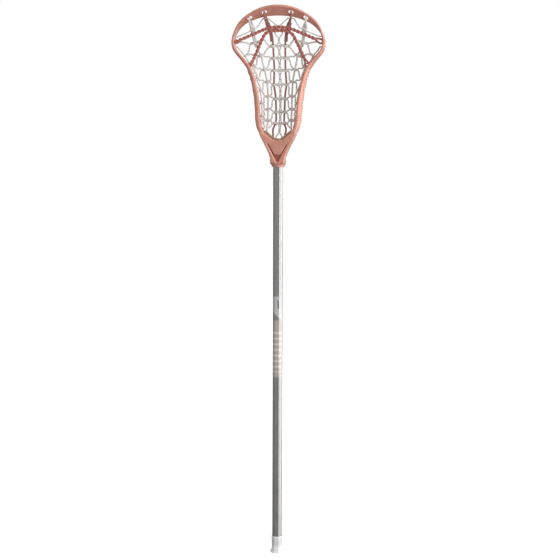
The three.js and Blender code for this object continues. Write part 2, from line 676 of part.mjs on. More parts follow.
// The foam strip glued round the bottom of the ball stop.
function ballStopPad() {
  const near = stationIndexes().filter((i) => rimPoints[i].z < 853);
  const order = [...near.filter((i) => i > RIM_FINE / 2), ...near.filter((i) => i <= RIM_FINE / 2)];
  return skin(order.map((i) => {
    const station = rimStation(i);
    return [[9.9, 2.4], [9.9, 15.6], [12.2, 15.6], [12.9, 14.8], [12.9, 3.2], [12.2, 2.4]]
      .map(([n, d]) => rimPlace(station, n, d));
  }), false);
}

// ---- handle, screw and butt cap ------------------------------------------------------------

function shaft() {
  const shape = new THREE.Shape(octagon(SHAFT_RADIUS));
  const hollow = SHAFT_RADIUS - SHAFT_WALL / Math.cos(Math.PI / 8);
  shape.holes.push(new THREE.Path(octagon(hollow).reverse()));
  const hole = rod(new THREE.Vector3(0, 3, SCREW_HEIGHT), new THREE.Vector3(0, 20, SCREW_HEIGHT),
    SCREW_SHANK_RADIUS + 0.5, 10);
  return geometryOf(solid(upright(shape, SHAFT_BOTTOM, SHAFT_TOP)).subtract(solid(hole)));
}

function headScrew() {
  const underHead = SCREW_SEAT + 0.3;
  const top = underHead + SCREW_HEAD_THICK;
  const profile = [
    [0, SCREW_TIP], [1, SCREW_TIP], [SCREW_SHANK_RADIUS, SCREW_TIP + 1.4], [SCREW_SHANK_RADIUS, underHead],
    [SCREW_HEAD_RADIUS, underHead], [SCREW_HEAD_RADIUS, top - 0.8], [SCREW_HEAD_RADIUS - 0.9, top], [0, top],
  ].map(([r, y]) => new THREE.Vector2(r, y));
  const body = new THREE.LatheGeometry(profile, 16);
  let screw = solid(body);
  for (const turn of [0, Math.PI / 2]) {
    const arm = new THREE.BoxGeometry(4.2, 3, 1);
    arm.rotateY(turn);
    arm.translate(0, top, 0);
    screw = screw.subtract(solid(arm));
  }
  return geometryOf(screw);
}

function endCap() {
  const flange = upright(new THREE.Shape(octagon(CAP_FLANGE_RADIUS)), 0, CAP_FLANGE_HEIGHT - 1);
  const shoulder = upright(new THREE.Shape(octagon(CAP_FLANGE_RADIUS - 1.4)), 1, CAP_FLANGE_HEIGHT);
  const sleeve = upright(new THREE.Shape(octagon(CAP_SLEEVE_RADIUS)), 1, CAP_SLEEVE_TOP);
  const bandShape = new THREE.Shape(octagon(CAP_SLEEVE_RADIUS + 0.5));
  const band = upright(bandShape, CAP_SLEEVE_TOP - 4.6, CAP_SLEEVE_TOP - 2.4);
  const cavity = upright(new THREE.Shape(octagon(SHAFT_RADIUS + CAP_CLEARANCE)), CAP_FLOOR, CAP_SLEEVE_TOP + 5);
  const outside = solid(flange).add(solid(shoulder)).add(solid(sleeve)).add(solid(band));
  return geometryOf(outside.subtract(solid(cavity)));
}

// ---- the stick -----------------------------------------------------------------------------

const rubber = new THREE.MeshStandardMaterial({ color: 0xe9e6e2, roughness: 0.6, metalness: 0 });
const alloy = new THREE.MeshStandardMaterial({ color: 0xb4b2b1, roughness: 0.35, metalness: 0.9 });
const copperPlastic = new THREE.MeshStandardMaterial({ color: 0xc08a72, roughness: 0.38, metalness: 0.35 });
const foam = new THREE.MeshStandardMaterial({ color: 0xac9477, roughness: 0.9, metalness: 0 });
const steel = new THREE.MeshStandardMaterial({ color: 0x8e8c8a, roughness: 0.3, metalness: 1 });
const maroon = new THREE.MeshStandardMaterial({ color: 0x8a4a4c, roughness: 0.85, metalness: 0 });
const grey = new THREE.MeshStandardMaterial({ color: 0xc2beb8, roughness: 0.9, metalness: 0 });

const stick = new THREE.Group();

function piece(name, geometry, material, parent = stick) {
  const mesh = new THREE.Mesh(geometry, material);
  mesh.name = name;
  parent.add(mesh);
  return mesh;
}

function pair(name, geometry, material, parent) {
  const bare = welded(geometry);
  piece(`${name}_right`, bare, material, parent);
  piece(`${name}_left`, mirrored(bare), material, parent);
}

const handle = new THREE.Group();
stick.add(handle);
piece('shaft', shaft(), alloy, handle);
piece('end_cap', endCap(), rubber, handle);

const head = new THREE.Group();
stick.add(head);
piece('head_frame', headFrame(), copperPlastic, head);
piece('ball_stop_pad', ballStopPad(), foam, head);
piece('head_screw', headScrew(), steel, head).position.set(0, 0, SCREW_HEIGHT);

const pocket = new THREE.Group();
head.add(pocket);
pair('inner_thong', innerThong(), maroon, pocket);
pair('outer_thong', outerThong(), grey, pocket);
piece('centre_lace_right', centreLace(1), grey, pocket);
piece('centre_lace_left', centreLace(-1), grey, pocket);
pair('inner_cross_lace', innerCrossLace(), grey, pocket);
pair('outer_cross_lace', outerCrossLace(), grey, pocket);
pair('sidewall_string', sidewallString(), grey, pocket);
piece('top_string', topString(), grey, pocket);
piece('upper_shooting_string', shootingString(UPPER_SHOOTER_HEIGHT, UPPER_SHOOTER_LINE), maroon, pocket);
piece('lower_shooting_string', shootingString(LOWER_SHOOTER_HEIGHT, LOWER_SHOOTER_LINE), maroon, pocket);

export default stick;
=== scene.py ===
"""Looks of the women's lacrosse stick: moulded copper head, woven pocket, alloy handle, rubber cap.

Shapes are drawn in millimetres in the row frame (+Z up the handle, open face of the head towards
-Y) and turned into metres when a mesh is made.
"""

import math

import bmesh
import bpy
import numpy as np
from mathutils import Matrix, Vector


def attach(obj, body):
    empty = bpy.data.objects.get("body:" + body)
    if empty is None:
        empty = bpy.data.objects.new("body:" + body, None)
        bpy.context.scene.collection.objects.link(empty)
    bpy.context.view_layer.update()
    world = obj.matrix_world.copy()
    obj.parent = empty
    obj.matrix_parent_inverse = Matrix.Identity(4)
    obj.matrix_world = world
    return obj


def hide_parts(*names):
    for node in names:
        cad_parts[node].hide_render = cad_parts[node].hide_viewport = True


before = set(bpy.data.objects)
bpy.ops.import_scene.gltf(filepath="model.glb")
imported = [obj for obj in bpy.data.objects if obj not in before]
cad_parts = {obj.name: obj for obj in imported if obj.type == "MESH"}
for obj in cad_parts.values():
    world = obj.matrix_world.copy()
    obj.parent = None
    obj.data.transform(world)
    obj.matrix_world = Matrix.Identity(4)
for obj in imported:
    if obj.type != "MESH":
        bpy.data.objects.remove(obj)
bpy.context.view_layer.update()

MM = 0.001
X, Y, Z = np.eye(3)
SIDE_NAME = {1: "right", -1: "left"}

# -------- sizes
# They are the frame's, but the cords are a little thicker here, so that crossing cords touch, and
# the front edges of the side walls slope outward.

SHAFT_RADIUS, SHAFT_WALL = 10.4, 1.3
SHAFT_BOTTOM, SHAFT_TOP = 4.9, 830.6
SOCKET_BOTTOM, SOCKET_TOP = 791.5, 831.5
SOCKET_CLEARANCE, CAP_CLEARANCE = 0.4, 0.35
THROAT_FRONT, THROAT_BACK = -16.6, 16.8
LIP_FLOOR, GROOVE_FLOOR = -15.3, -11.2
CUT_PAST = 6
SCREW_HEIGHT, SCREW_SEAT = 818, 13.9
SCREW_HOLE_R, SCREW_HEAD_HOLE_R, HANDLE_HOLE_R = 2.35, 4.5, 2.4

THONG_R, LACE_R, CENTRE_R, PLY_R = 1.8, 1.5, 1.3, 1.75
SHOOTER_LIFT, TWIST_PITCH, PARTING = -4.6, 15.5, 18
WHIPPING_DROP, WHIPPING_R = 27.6, 0.95
LACE_BRAID = {"sides": 10, "step": 0.7, "braid": 0.08, "pitch": 2.6}

# Right half of the head's outer edge, (x, z), and the depth of its front by height, (z, y).
RIM = [
    (0, 833.5), (10, 835.2), (18, 840.2), (26.5, 847.2), (34, 854), (38.6, 861.5), (41.6, 868.8),
    (44.1, 882), (45, 897.3), (46.4, 914.3), (48, 929.3), (50.4, 942.6), (53.6, 957.6), (57.1, 969),
    (61.6, 980.2), (67.4, 988.5), (75, 998), (82.9, 1007.2), (87.8, 1015), (90, 1023),
    (90.2, 1031), (88.4, 1039.8), (84.8, 1049), (79, 1059.8), (71, 1069.5), (62, 1076.8),
    (51.8, 1083.2), (40.8, 1088.8), (29.8, 1092.9), (15, 1096), (0, 1097),
]
RIM_FRONT = [
    (833, -16.6), (870, -15.5), (905, -11), (940, -8.5), (975, -7.6), (1010, -9), (1040, -13),
    (1070, -19.5), (1097, -25),
]
# The wall's section by height. A corner is (inset from the outer edge, depth behind the front).
THROAT_SECTION = [
    (2.2, 0), (0, 2.2), (0, 8), (0, 12), (0, 22), (0, 26), (0, 31.2), (2.2, 33.4),
    (7.3, 33.4), (9.5, 31), (9.5, 27), (9.5, 22), (9.5, 10), (9.5, 6), (9.5, 2.2), (7.3, 0),
]
SECTIONS = [
    (833.5, THROAT_SECTION),
    (853, THROAT_SECTION),
    (874, [(4.4, 0), (0, 3.6), (0, 5.6), (1.8, 7.6), (1.8, 21.5), (0.2, 24), (0.2, 30.2), (2, 32.6),
           (6.4, 32.6), (8.2, 30.4), (8.2, 25.5), (6.2, 23.5), (6.6, 7.8), (9.8, 5.4), (9.8, 2), (8.2, 0)]),
    (910, [(4.8, 0), (0, 4), (0, 5.8), (2, 7.6), (1.4, 20), (-0.8, 22.6), (-0.8, 28.4), (1, 30.6),
           (5.6, 30.6), (7.4, 28.6), (7.4, 24.5), (5.6, 22.5), (6.6, 7.8), (10, 5.4), (10, 2), (8.4, 0)]),
    (962, [(4.2, 0), (0, 3.6), (0, 5.2), (1.8, 7), (1.2, 17.8), (-0.9, 20.2), (-0.9, 26), (0.8, 28),
           (4.6, 28), (6.2, 26), (6.2, 21.8), (4.8, 20), (5.8, 7.2), (8.6, 4.8), (8.6, 1.8), (7.2, 0)]),
    (1006, [(3.2, 0), (0, 3), (0, 4.6), (1.5, 6.2), (1, 13.6), (-0.6, 15.4), (-0.6, 20.4), (0.8, 22),
            (4.2, 22), (5.6, 20.4), (5.6, 16.8), (4.4, 15.4), (4.8, 6.4), (6.6, 4.4), (6.6, 1.6), (5.4, 0)]),
    (1047, [(1.5, 0), (0, 1.5), (0, 4), (0.6, 6), (0.8, 12.8), (0.4, 14), (0.4, 17.4), (1.6, 19),
            (4.4, 19), (5.6, 17.4), (5.6, 14), (4.4, 12.8), (4.2, 6.4), (4.8, 4.2), (4.8, 1.5), (3.4, 0)]),
    (1075, [(1.8, 0), (0, 1.6), (0, 3.6), (1.4, 5.6), (4.6, 8.8), (6.6, 11), (8, 13), (9.2, 14),
            (10.6, 14), (12, 12.8), (12, 11), (10.8, 9.6), (8.8, 7.2), (6.2, 4), (4.8, 1.8), (3.8, 0)]),
    (1097, [(2.2, 0), (0, 1.6), (0, 3.6), (2, 5.8), (9.4, 10.2), (12.4, 12.4), (13.6, 14.6), (15.2, 16),
            (17.8, 16), (19.5, 14.6), (19.5, 12), (18, 10.4), (14.6, 8.6), (9, 5), (6, 2.4), (4.4, 0)]),
]

STITCH_HEIGHTS = [972, 959.5, 938, 913.5, 888.5]
STITCH_HALF = 3.5
SIDE_STRING_TOP, SIDE_STRING_BOTTOM = 1017.5, 872
TOP_STRING_HEIGHT = 1041.5
UPPER_SHOOTER_HEIGHT, LOWER_SHOOTER_HEIGHT = 1030.5, 982
# Slots for the thongs, (x, z, tilt), and their holes in the throat, (x, z, cord's radius).
INNER_SLOT = (25.4, 1083.5, 0.22)
OUTER_SLOT = (53.6, 1073.1, 0.56)
SLOT_LENGTH, SLOT_WIDTH = 10, 5.4
SMALL_HOLE_R, STITCH_HOLE_R, SHOOTER_HOLE_R = 2, 1.6, 3.1
THROAT_HOLES = [(5.6, 843.6, CENTRE_R), (11.6, 845.6, THONG_R), (24, 857.6, THONG_R)]
THROAT_HOLE_ENTRY = 10.5
THROAT_HOLE_SLOPE = np.array([0, 0.55, -0.835])

# The pocket by height: depth of its middle, depth of its edge, and half its width.
MIDDLE_DEPTH = [
    (838, 6), (850, 13), (860, 19.5), (870, 25), (882, 29.5), (895, 32.5), (920, 33), (950, 29),
    (975, 24), (1000, 17), (1025, 9), (1050, 1), (1075, -5.5), (1097, -9),
]
EDGE_DEPTH = [
    (838, 4), (850, 6), (866, 8.5), (888, 11), (913, 12.5), (938, 13.5), (960, 12.5), (985, 9.5),
    (1000, 6.5), (1020, 2), (1037, -2.5), (1060, -8),
]
POCKET_HALF_WIDTH = [
    (838, 18), (850, 24), (857, 28), (869, 33), (882, 35), (897, 36.5), (914, 38), (929, 40),
    (942, 42.5), (957, 46.5), (969, 50), (980, 55), (988, 61), (998, 68), (1007, 76), (1020, 82),
    (1040, 80), (1060, 76), (1097, 70),
]
# The weave: heights of its rows, half widths at them, hooks and shooting strings (x, z), thongs (z, x).
MIDDLE_ROWS = [1022.6, 1000, 977, 949.6, 922.8, 897.2, 875]
MIDDLE_GAPS = [3.4, 3.2, 3.2, 3.6, 2.8, 2.4, 2.4]
EYE_HALF = 6.5
MIDDLE_CORNERS = [21, 18.7, 17.4, 16.4, 14.8, 14.2, 16]
THONG_ROWS = [1004.9, 979, 955.6, 927.9, 902.8, 881]
THONG_CORNER_IN, THONG_CORNER_OUT = 6, 6.8
THONG_TILTS = [1.4, 1.6, 0.4, 0.4, 0.7, 0.7]
SIDE_HOOKS = [(47.9, 983.8), (42.5, 961.1), (36.2, 938.2), (33.7, 913.5), (32.7, 888.5)]
INNER_THONG_LINE = [
    (847, 12), (852, 13.6), (857, 14.4), (864, 12.8), (872, 9.8), (880, 8), (893, 8.2), (909, 8.6),
    (922.5, 9), (934, 10), (943, 11.4), (949.6, 12.1), (959, 12), (972, 11.1), (985, 10.9),
    (1000, 11.3), (1022.6, 11.8), (1034, 12.2), (1043, 13.2), (1050, 15), (1057.6, 17.3), (1066, 20.3),
]
OUTER_THONG_LINE = [
    (857, 24.2), (869, 24), (881, 23.2), (903, 23.5), (928, 23.7), (955.6, 25.3), (965, 26.8),
    (979, 29.9), (992.7, 33), (1004.9, 35.6), (1011, 39), (1018, 42), (1026, 43.8), (1037, 46),
    (1050, 48), (1062, 49.8),
]
UPPER_SHOOTER_LINE = [
    (75, 1033), (69, 1035.2), (54, 1041.6), (38.4, 1048), (30.7, 1051.2), (23, 1053.8), (14, 1056),
    (0, 1056.8),
]
LOWER_SHOOTER_LINE = [
    (51, 995), (43.8, 1010), (36.3, 1025.9), (29.8, 1038.8), (25, 1045), (18.6, 1048.8), (10, 1050.3),
    (0, 1050.6),
]


# -------- numbers and curves

def between(table, at):
    xs, ys = zip(*table)
    return float(np.interp(at, xs, ys))


def unit(v):
    return v / np.linalg.norm(v)


def round_angles(sides):
    return np.arange(sides) * math.tau / sides


def catmull(points, closed=False, fine=0.35):
    """A dense polyline through the points, on a centripetal Catmull-Rom curve."""
    pts = [np.array(p, float) for p in points]
    if closed:
        around = [pts[-1], *pts, pts[0], pts[1]]
    else:
        around = [2 * pts[0] - pts[1], *pts, 2 * pts[-1] - pts[-2]]
    out = []
    for p0, p1, p2, p3 in zip(around, around[1:], around[2:], around[3:]):
        spans = ((p0, p1), (p1, p2), (p2, p3))
        d0, d1, d2 = (max(np.linalg.norm(b - a), 1e-6) ** 0.5 for a, b in spans)
        t1 = ((p1 - p0) / d0 - (p2 - p0) / (d0 + d1) + (p2 - p1) / d1) * d1
        t2 = ((p2 - p1) / d1 - (p3 - p1) / (d1 + d2) + (p3 - p2) / d2) * d1
        n = max(2, int(np.linalg.norm(p2 - p1) / fine))
        t = np.linspace(0, 1, n, endpoint=False)[:, None]
        c2 = -3 * p1 + 3 * p2 - 2 * t1 - t2
        c3 = 2 * p1 - 2 * p2 + t1 + t2
        out.append(p1 + t1 * t + c2 * t ** 2 + c3 * t ** 3)
    if not closed:
        out.append(pts[-1][None, :])
    return np.vstack(out)


def lengths(line):
    return np.concatenate([[0], np.cumsum(np.linalg.norm(np.diff(line, axis=0), axis=1))])


def spread_evenly(line, count, endpoint=True):
    far = lengths(line)
    at = np.linspace(0, far[-1], count, endpoint=endpoint)
    return np.stack([np.interp(at, far, line[:, k]) for k in range(3)], axis=1)


def resample(line, step):
    return spread_evenly(line, max(2, int(round(lengths(line)[-1] / step)) + 1))


def frames_along(line):
    """Unit tangents, and two normals that turn with the line and don't spin about it."""
    along = np.gradient(line, axis=0)
    along /= np.linalg.norm(along, axis=1)[:, None]
    side = Y if abs(along[0] @ Y) < 0.8 else X
    sides = np.zeros_like(line)
    for i, t in enumerate(along):
        side = unit(side - (side @ t) * t)
        sides[i] = side
    return along, sides, np.cross(along, sides)


# -------- meshes

def linked(name, data):
    obj = bpy.data.objects.new(name, data)
    bpy.context.scene.collection.objects.link(obj)
    return obj


def shade(mesh, sharp):
    """Smooth shading, with edges that stay sharp above an angle."""
    mesh.shade_smooth()
    mesh.set_sharp_from_angle(angle=math.radians(sharp))


def mesh_object(name, verts_mm, faces, uvs=None):
    mesh = bpy.data.meshes.new(name)
    mesh.from_pydata((np.asarray(verts_mm, float) * MM).tolist(), [], faces)
    if uvs is not None:
        layer = mesh.uv_layers.new(name="UVMap")
        loops = np.zeros(len(mesh.loops), int)
        mesh.loops.foreach_get("vertex_index", loops)
        layer.data.foreach_set("uv", np.asarray(uvs, np.float32)[loops].ravel())
    mesh.validate()
    mesh.shade_smooth()
    return linked(name, mesh)


def skin(rows, sides, closed=False, first=0):
    """Faces between rings of points. The last ring joins the first, or both end rings are capped."""
    faces = []
    for i in range(rows if closed else rows - 1):
        a, b = first + i * sides, first + (i + 1) % rows * sides
        for k in range(sides):
            m = (k + 1) % sides
            faces.append((a + k, a + m, b + m, b + k))
    if not closed:
        faces.append(tuple(first + k for k in reversed(range(sides))))
        faces.append(tuple(first + (rows - 1) * sides + k for k in range(sides)))
    return faces


class Tubes:
    """Collects round cords into one mesh. u runs along a cord in millimetres and v round it."""

    def __init__(self):
        self.verts, self.faces, self.uvs = [], [], []

    def add(self, line, radius, sides=12, step=0.7, braid=0.0, pitch=3.0):
        line = resample(np.asarray(line, float), step)
        along, side, up = frames_along(line)
        far = lengths(line)
        turn = round_angles(sides)
        weave = np.zeros((len(line), sides))
        if braid:
            carriers = 4
            around, run = carriers * turn[None, :], math.tau * far[:, None] / pitch
            strands = [np.abs(np.sin(a / 2)) for a in (around + run, around - run)]
            weave = braid * (strands[0] + strands[1] - 1.0)
        r = radius * (1 + weave)
        ring = (line[:, None, :] + r[..., None] * (np.cos(turn)[None, :, None] * side[:, None, :]
                + np.sin(turn)[None, :, None] * up[:, None, :]))
        caps = []
        for end, sign in ((0, -1), (-1, 1)):
            for share, out in ((0.75, 0.35), (0.35, 0.55)):
                centre = line[end] + sign * along[end] * radius * out
                caps.append(centre + (ring[end] - line[end]) * share)
        ring = np.concatenate([[caps[1], caps[0]], ring, [caps[2], caps[3]]])
        far = np.concatenate([[far[0], far[0]], far, [far[-1], far[-1]]])
        self.faces += skin(len(ring), sides, first=len(self.verts))
        self.verts.extend(ring.reshape(-1, 3).tolist())
        v = np.arange(sides) / sides
        places = np.stack(np.broadcast_arrays(far[:, None], v[None, :]), axis=-1)
        self.uvs.extend(places.reshape(-1, 2).tolist())

    def piece(self, name):
        return mesh_object(name, self.verts, self.faces, self.uvs)


def apply_modifiers(obj):
    """Builds an object's modifiers into its mesh."""
    dg = bpy.context.evaluated_depsgraph_get()
    new = bpy.data.meshes.new_from_object(obj.evaluated_get(dg), depsgraph=dg)
    old = obj.data
    obj.modifiers.clear()
    obj.data = new
    bpy.data.meshes.remove(old)
    return obj


def boolean(obj, others, operation):
    for other in others:
        mod = obj.modifiers.new("cut", "BOOLEAN")
        mod.operation = operation
        mod.object = other
        mod.solver = "MANIFOLD"
        apply_modifiers(obj)
        bpy.data.objects.remove(other)


def slab(name, outline, front, back, bevel=0.0):
    """A prism whose outline is drawn in X-Z, between two depths."""
    bm = bmesh.new()
    verts = [bm.verts.new((x * MM, front * MM, z * MM)) for x, z in outline]
    face = bm.faces.new(verts)
    grown = bmesh.ops.extrude_face_region(bm, geom=[face])
    moved = [v for v in grown["geom"] if isinstance(v, bmesh.types.BMVert)]
    bmesh.ops.translate(bm, verts=moved, vec=(0, (back - front) * MM, 0))
    bmesh.ops.recalc_face_normals(bm, faces=bm.faces)
    if bevel:
        bmesh.ops.bevel(bm, geom=bm.edges[:], offset=bevel * MM, segments=3, profile=0.5,
                        affect="EDGES", clamp_overlap=True)
    mesh = bpy.data.meshes.new(name)
    bm.to_mesh(mesh)
    bm.free()
    return linked(name, mesh)


def face_outward(mesh):
    bm = bmesh.new()
    bm.from_mesh(mesh)
    bmesh.ops.recalc_face_normals(bm, faces=bm.faces)
    bm.to_mesh(mesh)
    bm.free()


def rod(name, start, end, radius, sides=24):
    start, end = np.array(start, float), np.array(end, float)
    _, side, up = frames_along(np.array([start, end]))
    turn = round_angles(sides)
    ring = radius * (np.cos(turn)[:, None] * side[0] + np.sin(turn)[:, None] * up[0])
    return mesh_object(name, np.vstack([start + ring, end + ring]), skin(2, sides))


def lathe(name, profile, sides):
    """Turns a profile of (radius, z) about Z and closes both ends."""
    verts = [(r * math.cos(t), r * math.sin(t), z) for r, z in profile for t in round_angles(sides)]
    return mesh_object(name, verts, skin(len(profile), sides))


def both_sides(half):
    return half + [(-x, z) for x, z in reversed(half) if x > 0]


# -------- rim and pocket places

RIM_FINE = 1200


def rim_table():
    half = [(x, 0, z) for x, z in RIM]
    other = [(-x, 0, z) for x, z in RIM[-2:0:-1]]
    line = catmull(half + other, closed=True, fine=0.5)
    return spread_evenly(np.vstack([line, line[:1]]), RIM_FINE, endpoint=False)


rim_points = rim_table()


def rim_station(i):
    at = rim_points[i % RIM_FINE]
    along = unit(rim_points[(i + 4) % RIM_FINE] - rim_points[(i - 4) % RIM_FINE])
    return at, np.array([-along[2], 0, along[0]])


def section_at(height):
    heights = [h for h, _ in SECTIONS]
    k = min(max(1, int(np.searchsorted(heights, height))), len(SECTIONS) - 1)
    low, high = SECTIONS[k - 1], SECTIONS[k]
    share = min(1, max(0, (height - low[0]) / (high[0] - low[0])))
    return np.array(low[1], float) * (1 - share) + np.array(high[1], float) * share


def rim_place(station, inset, back):
    at, inward = station
    place = at + inward * inset
    place[1] = between(RIM_FRONT, at[2]) + back
    return place


def wall_station(height):
    right = range(1, RIM_FINE // 2)
    return rim_station(next(i for i in right if rim_points[i][0] > 0 and rim_points[i][2] >= height))


def mirror(p, side):
    return np.array([side * p[0], p[1], p[2]])


def wall_point(height, inset, side=1):
    """A point at the depth of the string holes in the right or left wall, in from its outer edge."""
    station = wall_station(height)
    outline = section_at(station[0][2])
    back = outline[3][1] * 0.44 + outline[4][1] * 0.56
    return mirror(rim_place(station, inset, back), side)


def wall_points(height, insets, side=1):
    return [wall_point(height, inset, side) for inset in insets]


def net_depth(x, z):
    share = min(1, abs(x) / between(POCKET_HALF_WIDTH, z))
    edge = between(EDGE_DEPTH, z)
    return edge + (between(MIDDLE_DEPTH, z) - edge) * (1 - share ** 2.2)


def net(x, z, lift=0.0):
    return np.array([x, net_depth(x, z) + lift, z])


# -------- the moulded head

def rounded(outline, cut=0.25):
    """Two rounds of corner cutting on a closed outline."""
    points = np.asarray(outline, float)
    for _ in range(2):
        after = np.roll(points, -1, axis=0)
        pair = [points * (1 - cut) + after * cut, points * cut + after * (1 - cut)]
        points = np.stack(pair, axis=1).reshape(-1, points.shape[1])
    return points


def rim_solid():
    stations = 400
    rings = []
    for k in range(stations):
        station = rim_station(round(k * RIM_FINE / stations))
        rings.append([rim_place(station, n, d) for n, d in rounded(section_at(station[0][2]))])
    faces = [(a, d, c, b) for a, b, c, d in skin(stations, len(rings[0]), closed=True)]
    obj = mesh_object("rim_solid", np.array(rings).reshape(-1, 3), faces)
    face_outward(obj.data)
    return obj


def octagon_prism(name, radius, bottom, top):
    corners = [(k - 1.5) * math.pi / 4 for k in range(8)]
    verts = [(radius * math.cos(a), radius * math.sin(a), z) for z in (bottom, top) for a in corners]
    return mesh_object(name, verts, skin(2, 8))


def throat_solid():
    outline = both_sides([
        (0, 799), (12.8, 799), (14.6, 810), (17.9, 819.2), (23.2, 830.6), (30.4, 844), (36.2, 856.2),
        (33, 860), (25.5, 853.4), (17.5, 846.4), (9, 840.4), (0, 839)])
    return slab("throat_solid", outline, THROAT_FRONT, THROAT_BACK, bevel=1.4)


def collar_solid():
    return lathe("collar_solid", [
        (11.4, 791.5), (12.4, 791.5), (13, 792.3), (13.2, 795), (14.2, 796.2), (15.6, 797.2),
        (16.2, 799.2), (16.2, 806.6), (15.6, 809.2), (14.2, 811.4), (11, 812.5)], sides=64)


def head_cutters():
    """Socket, recesses and pockets, which get the same soft edges as the rest of the moulding."""
    yield octagon_prism("bore", SHAFT_RADIUS + SOCKET_CLEARANCE, SOCKET_BOTTOM - CUT_PAST, SOCKET_TOP)
    yield slab("lip", both_sides([
        (0, 799.4), (3.2, 800.6), (8.8, 812), (14.8, 823.6), (19.4, 832.2), (21.6, 837), (20.4, 838),
        (15, 832), (10.6, 824.4), (6.4, 817), (4.6, 815.4), (0, 815.2)]), THROAT_FRONT - CUT_PAST, LIP_FLOOR)
    pocket = [(13.8, 818.4), (15.4, 818.4), (20.8, 829), (25.2, 837.6), (20, 838.4), (13.8, 833.5)]
    for side in (1, -1):
        yield slab("pocket", [(side * x, z) for x, z in pocket], 4, THROAT_BACK + CUT_PAST)


def slot_cutter(slot, side):
    x, z, turn = slot
    half = (SLOT_LENGTH - SLOT_WIDTH) / 2
    outline = []
    for k in range(24):
        a = (k + 0.5) * math.pi / 12 - math.pi / 2
        u = SLOT_WIDTH / 2 * math.cos(a) + math.copysign(half, math.cos(a))
        w = SLOT_WIDTH / 2 * math.sin(a)
        outline.append((side * (x + u * math.cos(turn) + w * math.sin(turn)),
                        z - u * math.sin(turn) + w * math.cos(turn)))
    return slab("slot", outline, -42, 10)


def throat_groove():
    """Grooves beside the shield-shaped plate on the throat, and the recess below it."""
    outline = both_sides([
        (0, 801.4), (2, 802.2), (7.4, 812.8), (13.4, 824.4), (18, 833), (20.2, 837.2), (19.6, 837.6),
        (15.4, 832.2), (10.8, 824.4), (6.6, 817), (4.8, 815.4), (0, 815.2)])
    return slab("groove", outline, THROAT_FRONT - CUT_PAST, GROOVE_FLOOR)


def wall_hole(height, radius, side):
    return rod("hole", wall_point(height, -6, side), wall_point(height, 13, side), radius)


def hole_cutters():
    for side in (1, -1):
        for height in (SIDE_STRING_TOP, SIDE_STRING_BOTTOM, TOP_STRING_HEIGHT):
            yield wall_hole(height, SMALL_HOLE_R, side)
        for height in STITCH_HEIGHTS:
            yield wall_hole(height + STITCH_HALF, STITCH_HOLE_R, side)
            yield wall_hole(height - STITCH_HALF, STITCH_HOLE_R, side)
        for height in (UPPER_SHOOTER_HEIGHT, LOWER_SHOOTER_HEIGHT):
            yield wall_hole(height, SHOOTER_HOLE_R, side)
        for x, floor, radius in THROAT_HOLES:
            mouth = np.array([side * x, THROAT_HOLE_ENTRY, floor])
            yield rod("hole", mouth - 12 * THROAT_HOLE_SLOPE, mouth + 26 * THROAT_HOLE_SLOPE, radius + 0.8)
        yield slot_cutter(INNER_SLOT, side)
        yield slot_cutter(OUTER_SLOT, side)
    yield throat_groove()
    yield rod("hole", (0, 4, SCREW_HEIGHT), (0, 30, SCREW_HEIGHT), SCREW_HOLE_R)
    yield rod("hole", (0, SCREW_SEAT, SCREW_HEIGHT), (0, 30, SCREW_HEIGHT), SCREW_HEAD_HOLE_R, sides=40)


def moulded_head():
    head = rim_solid()
    boolean(head, [throat_solid(), collar_solid()], "UNION")
    boolean(head, list(head_cutters()), "DIFFERENCE")
    remesh = head.modifiers.new("remesh", "REMESH")
    remesh.mode = "VOXEL"
    remesh.voxel_size = 0.85 * MM
    soften = head.modifiers.new("soften", "SMOOTH")
    soften.factor = 0.5
    soften.iterations = 4
    apply_modifiers(head)
    boolean(head, list(hole_cutters()), "DIFFERENCE")
    head.name = head.data.name = "head_moulding"
    shade(head.data, 42)
    return head


def foam_pad():
    order = [i for i in range(-130, 131, 3) if rim_points[i % RIM_FINE][2] < 853]
    profile = [
        (9.9, 2.8), (9.9, 15.2), (11.4, 15.5), (12.5, 15), (12.9, 13.8), (12.9, 4.2), (12.5, 3), (11.4, 2.5)]
    verts = [rim_place(rim_station(i), n, d) for i in order for n, d in profile]
    pad = mesh_object("ball_stop_foam", verts, skin(len(order), len(profile)))
    bevel = pad.modifiers.new("soft_edges", "BEVEL")
    bevel.width = 0.5 * MM
    bevel.segments = 2
    bevel.angle_limit = math.radians(40)
    return apply_modifiers(pad)


# -------- strings of the pocket

def line_point(line, side):
    """Gives a thong's middle at any height."""
    return lambda z: net(side * between(line, z), z)


def upright_point(x):
    """Gives the middle, at any height, of a cord that runs straight up."""
    return lambda z: net(x, z)


def turns_about(at, z, radius, side, stops):
    """Points round a cord: each stop is (angle, rise). Angle 0 is away from the middle, 90 in front."""
    out = []
    for angle, rise in stops:
        along = unit(at(z + rise + 1) - at(z + rise - 1))
        outward = unit(side * X - (side * X @ along) * along)
        front = np.cross(outward, along)
        if front @ Y > 0:
            front = -front
        a = math.radians(angle)
        out.append(at(z + rise) + radius * (math.cos(a) * outward + math.sin(a) * front))
    return out


def throat_end(x, floor, side):
    mouth = np.array([side * x, THROAT_HOLE_ENTRY, floor])
    far = (THROAT_BACK + 1.6 - THROAT_HOLE_ENTRY) / THROAT_HOLE_SLOPE[1]
    return [np.array([side * x, THROAT_HOLE_ENTRY + 0.4, floor + 6.6]), mouth - 2.6 * THROAT_HOLE_SLOPE,
            mouth + 6 * THROAT_HOLE_SLOPE, mouth + far * THROAT_HOLE_SLOPE,
            mouth + (far + 5.4) * THROAT_HOLE_SLOPE]


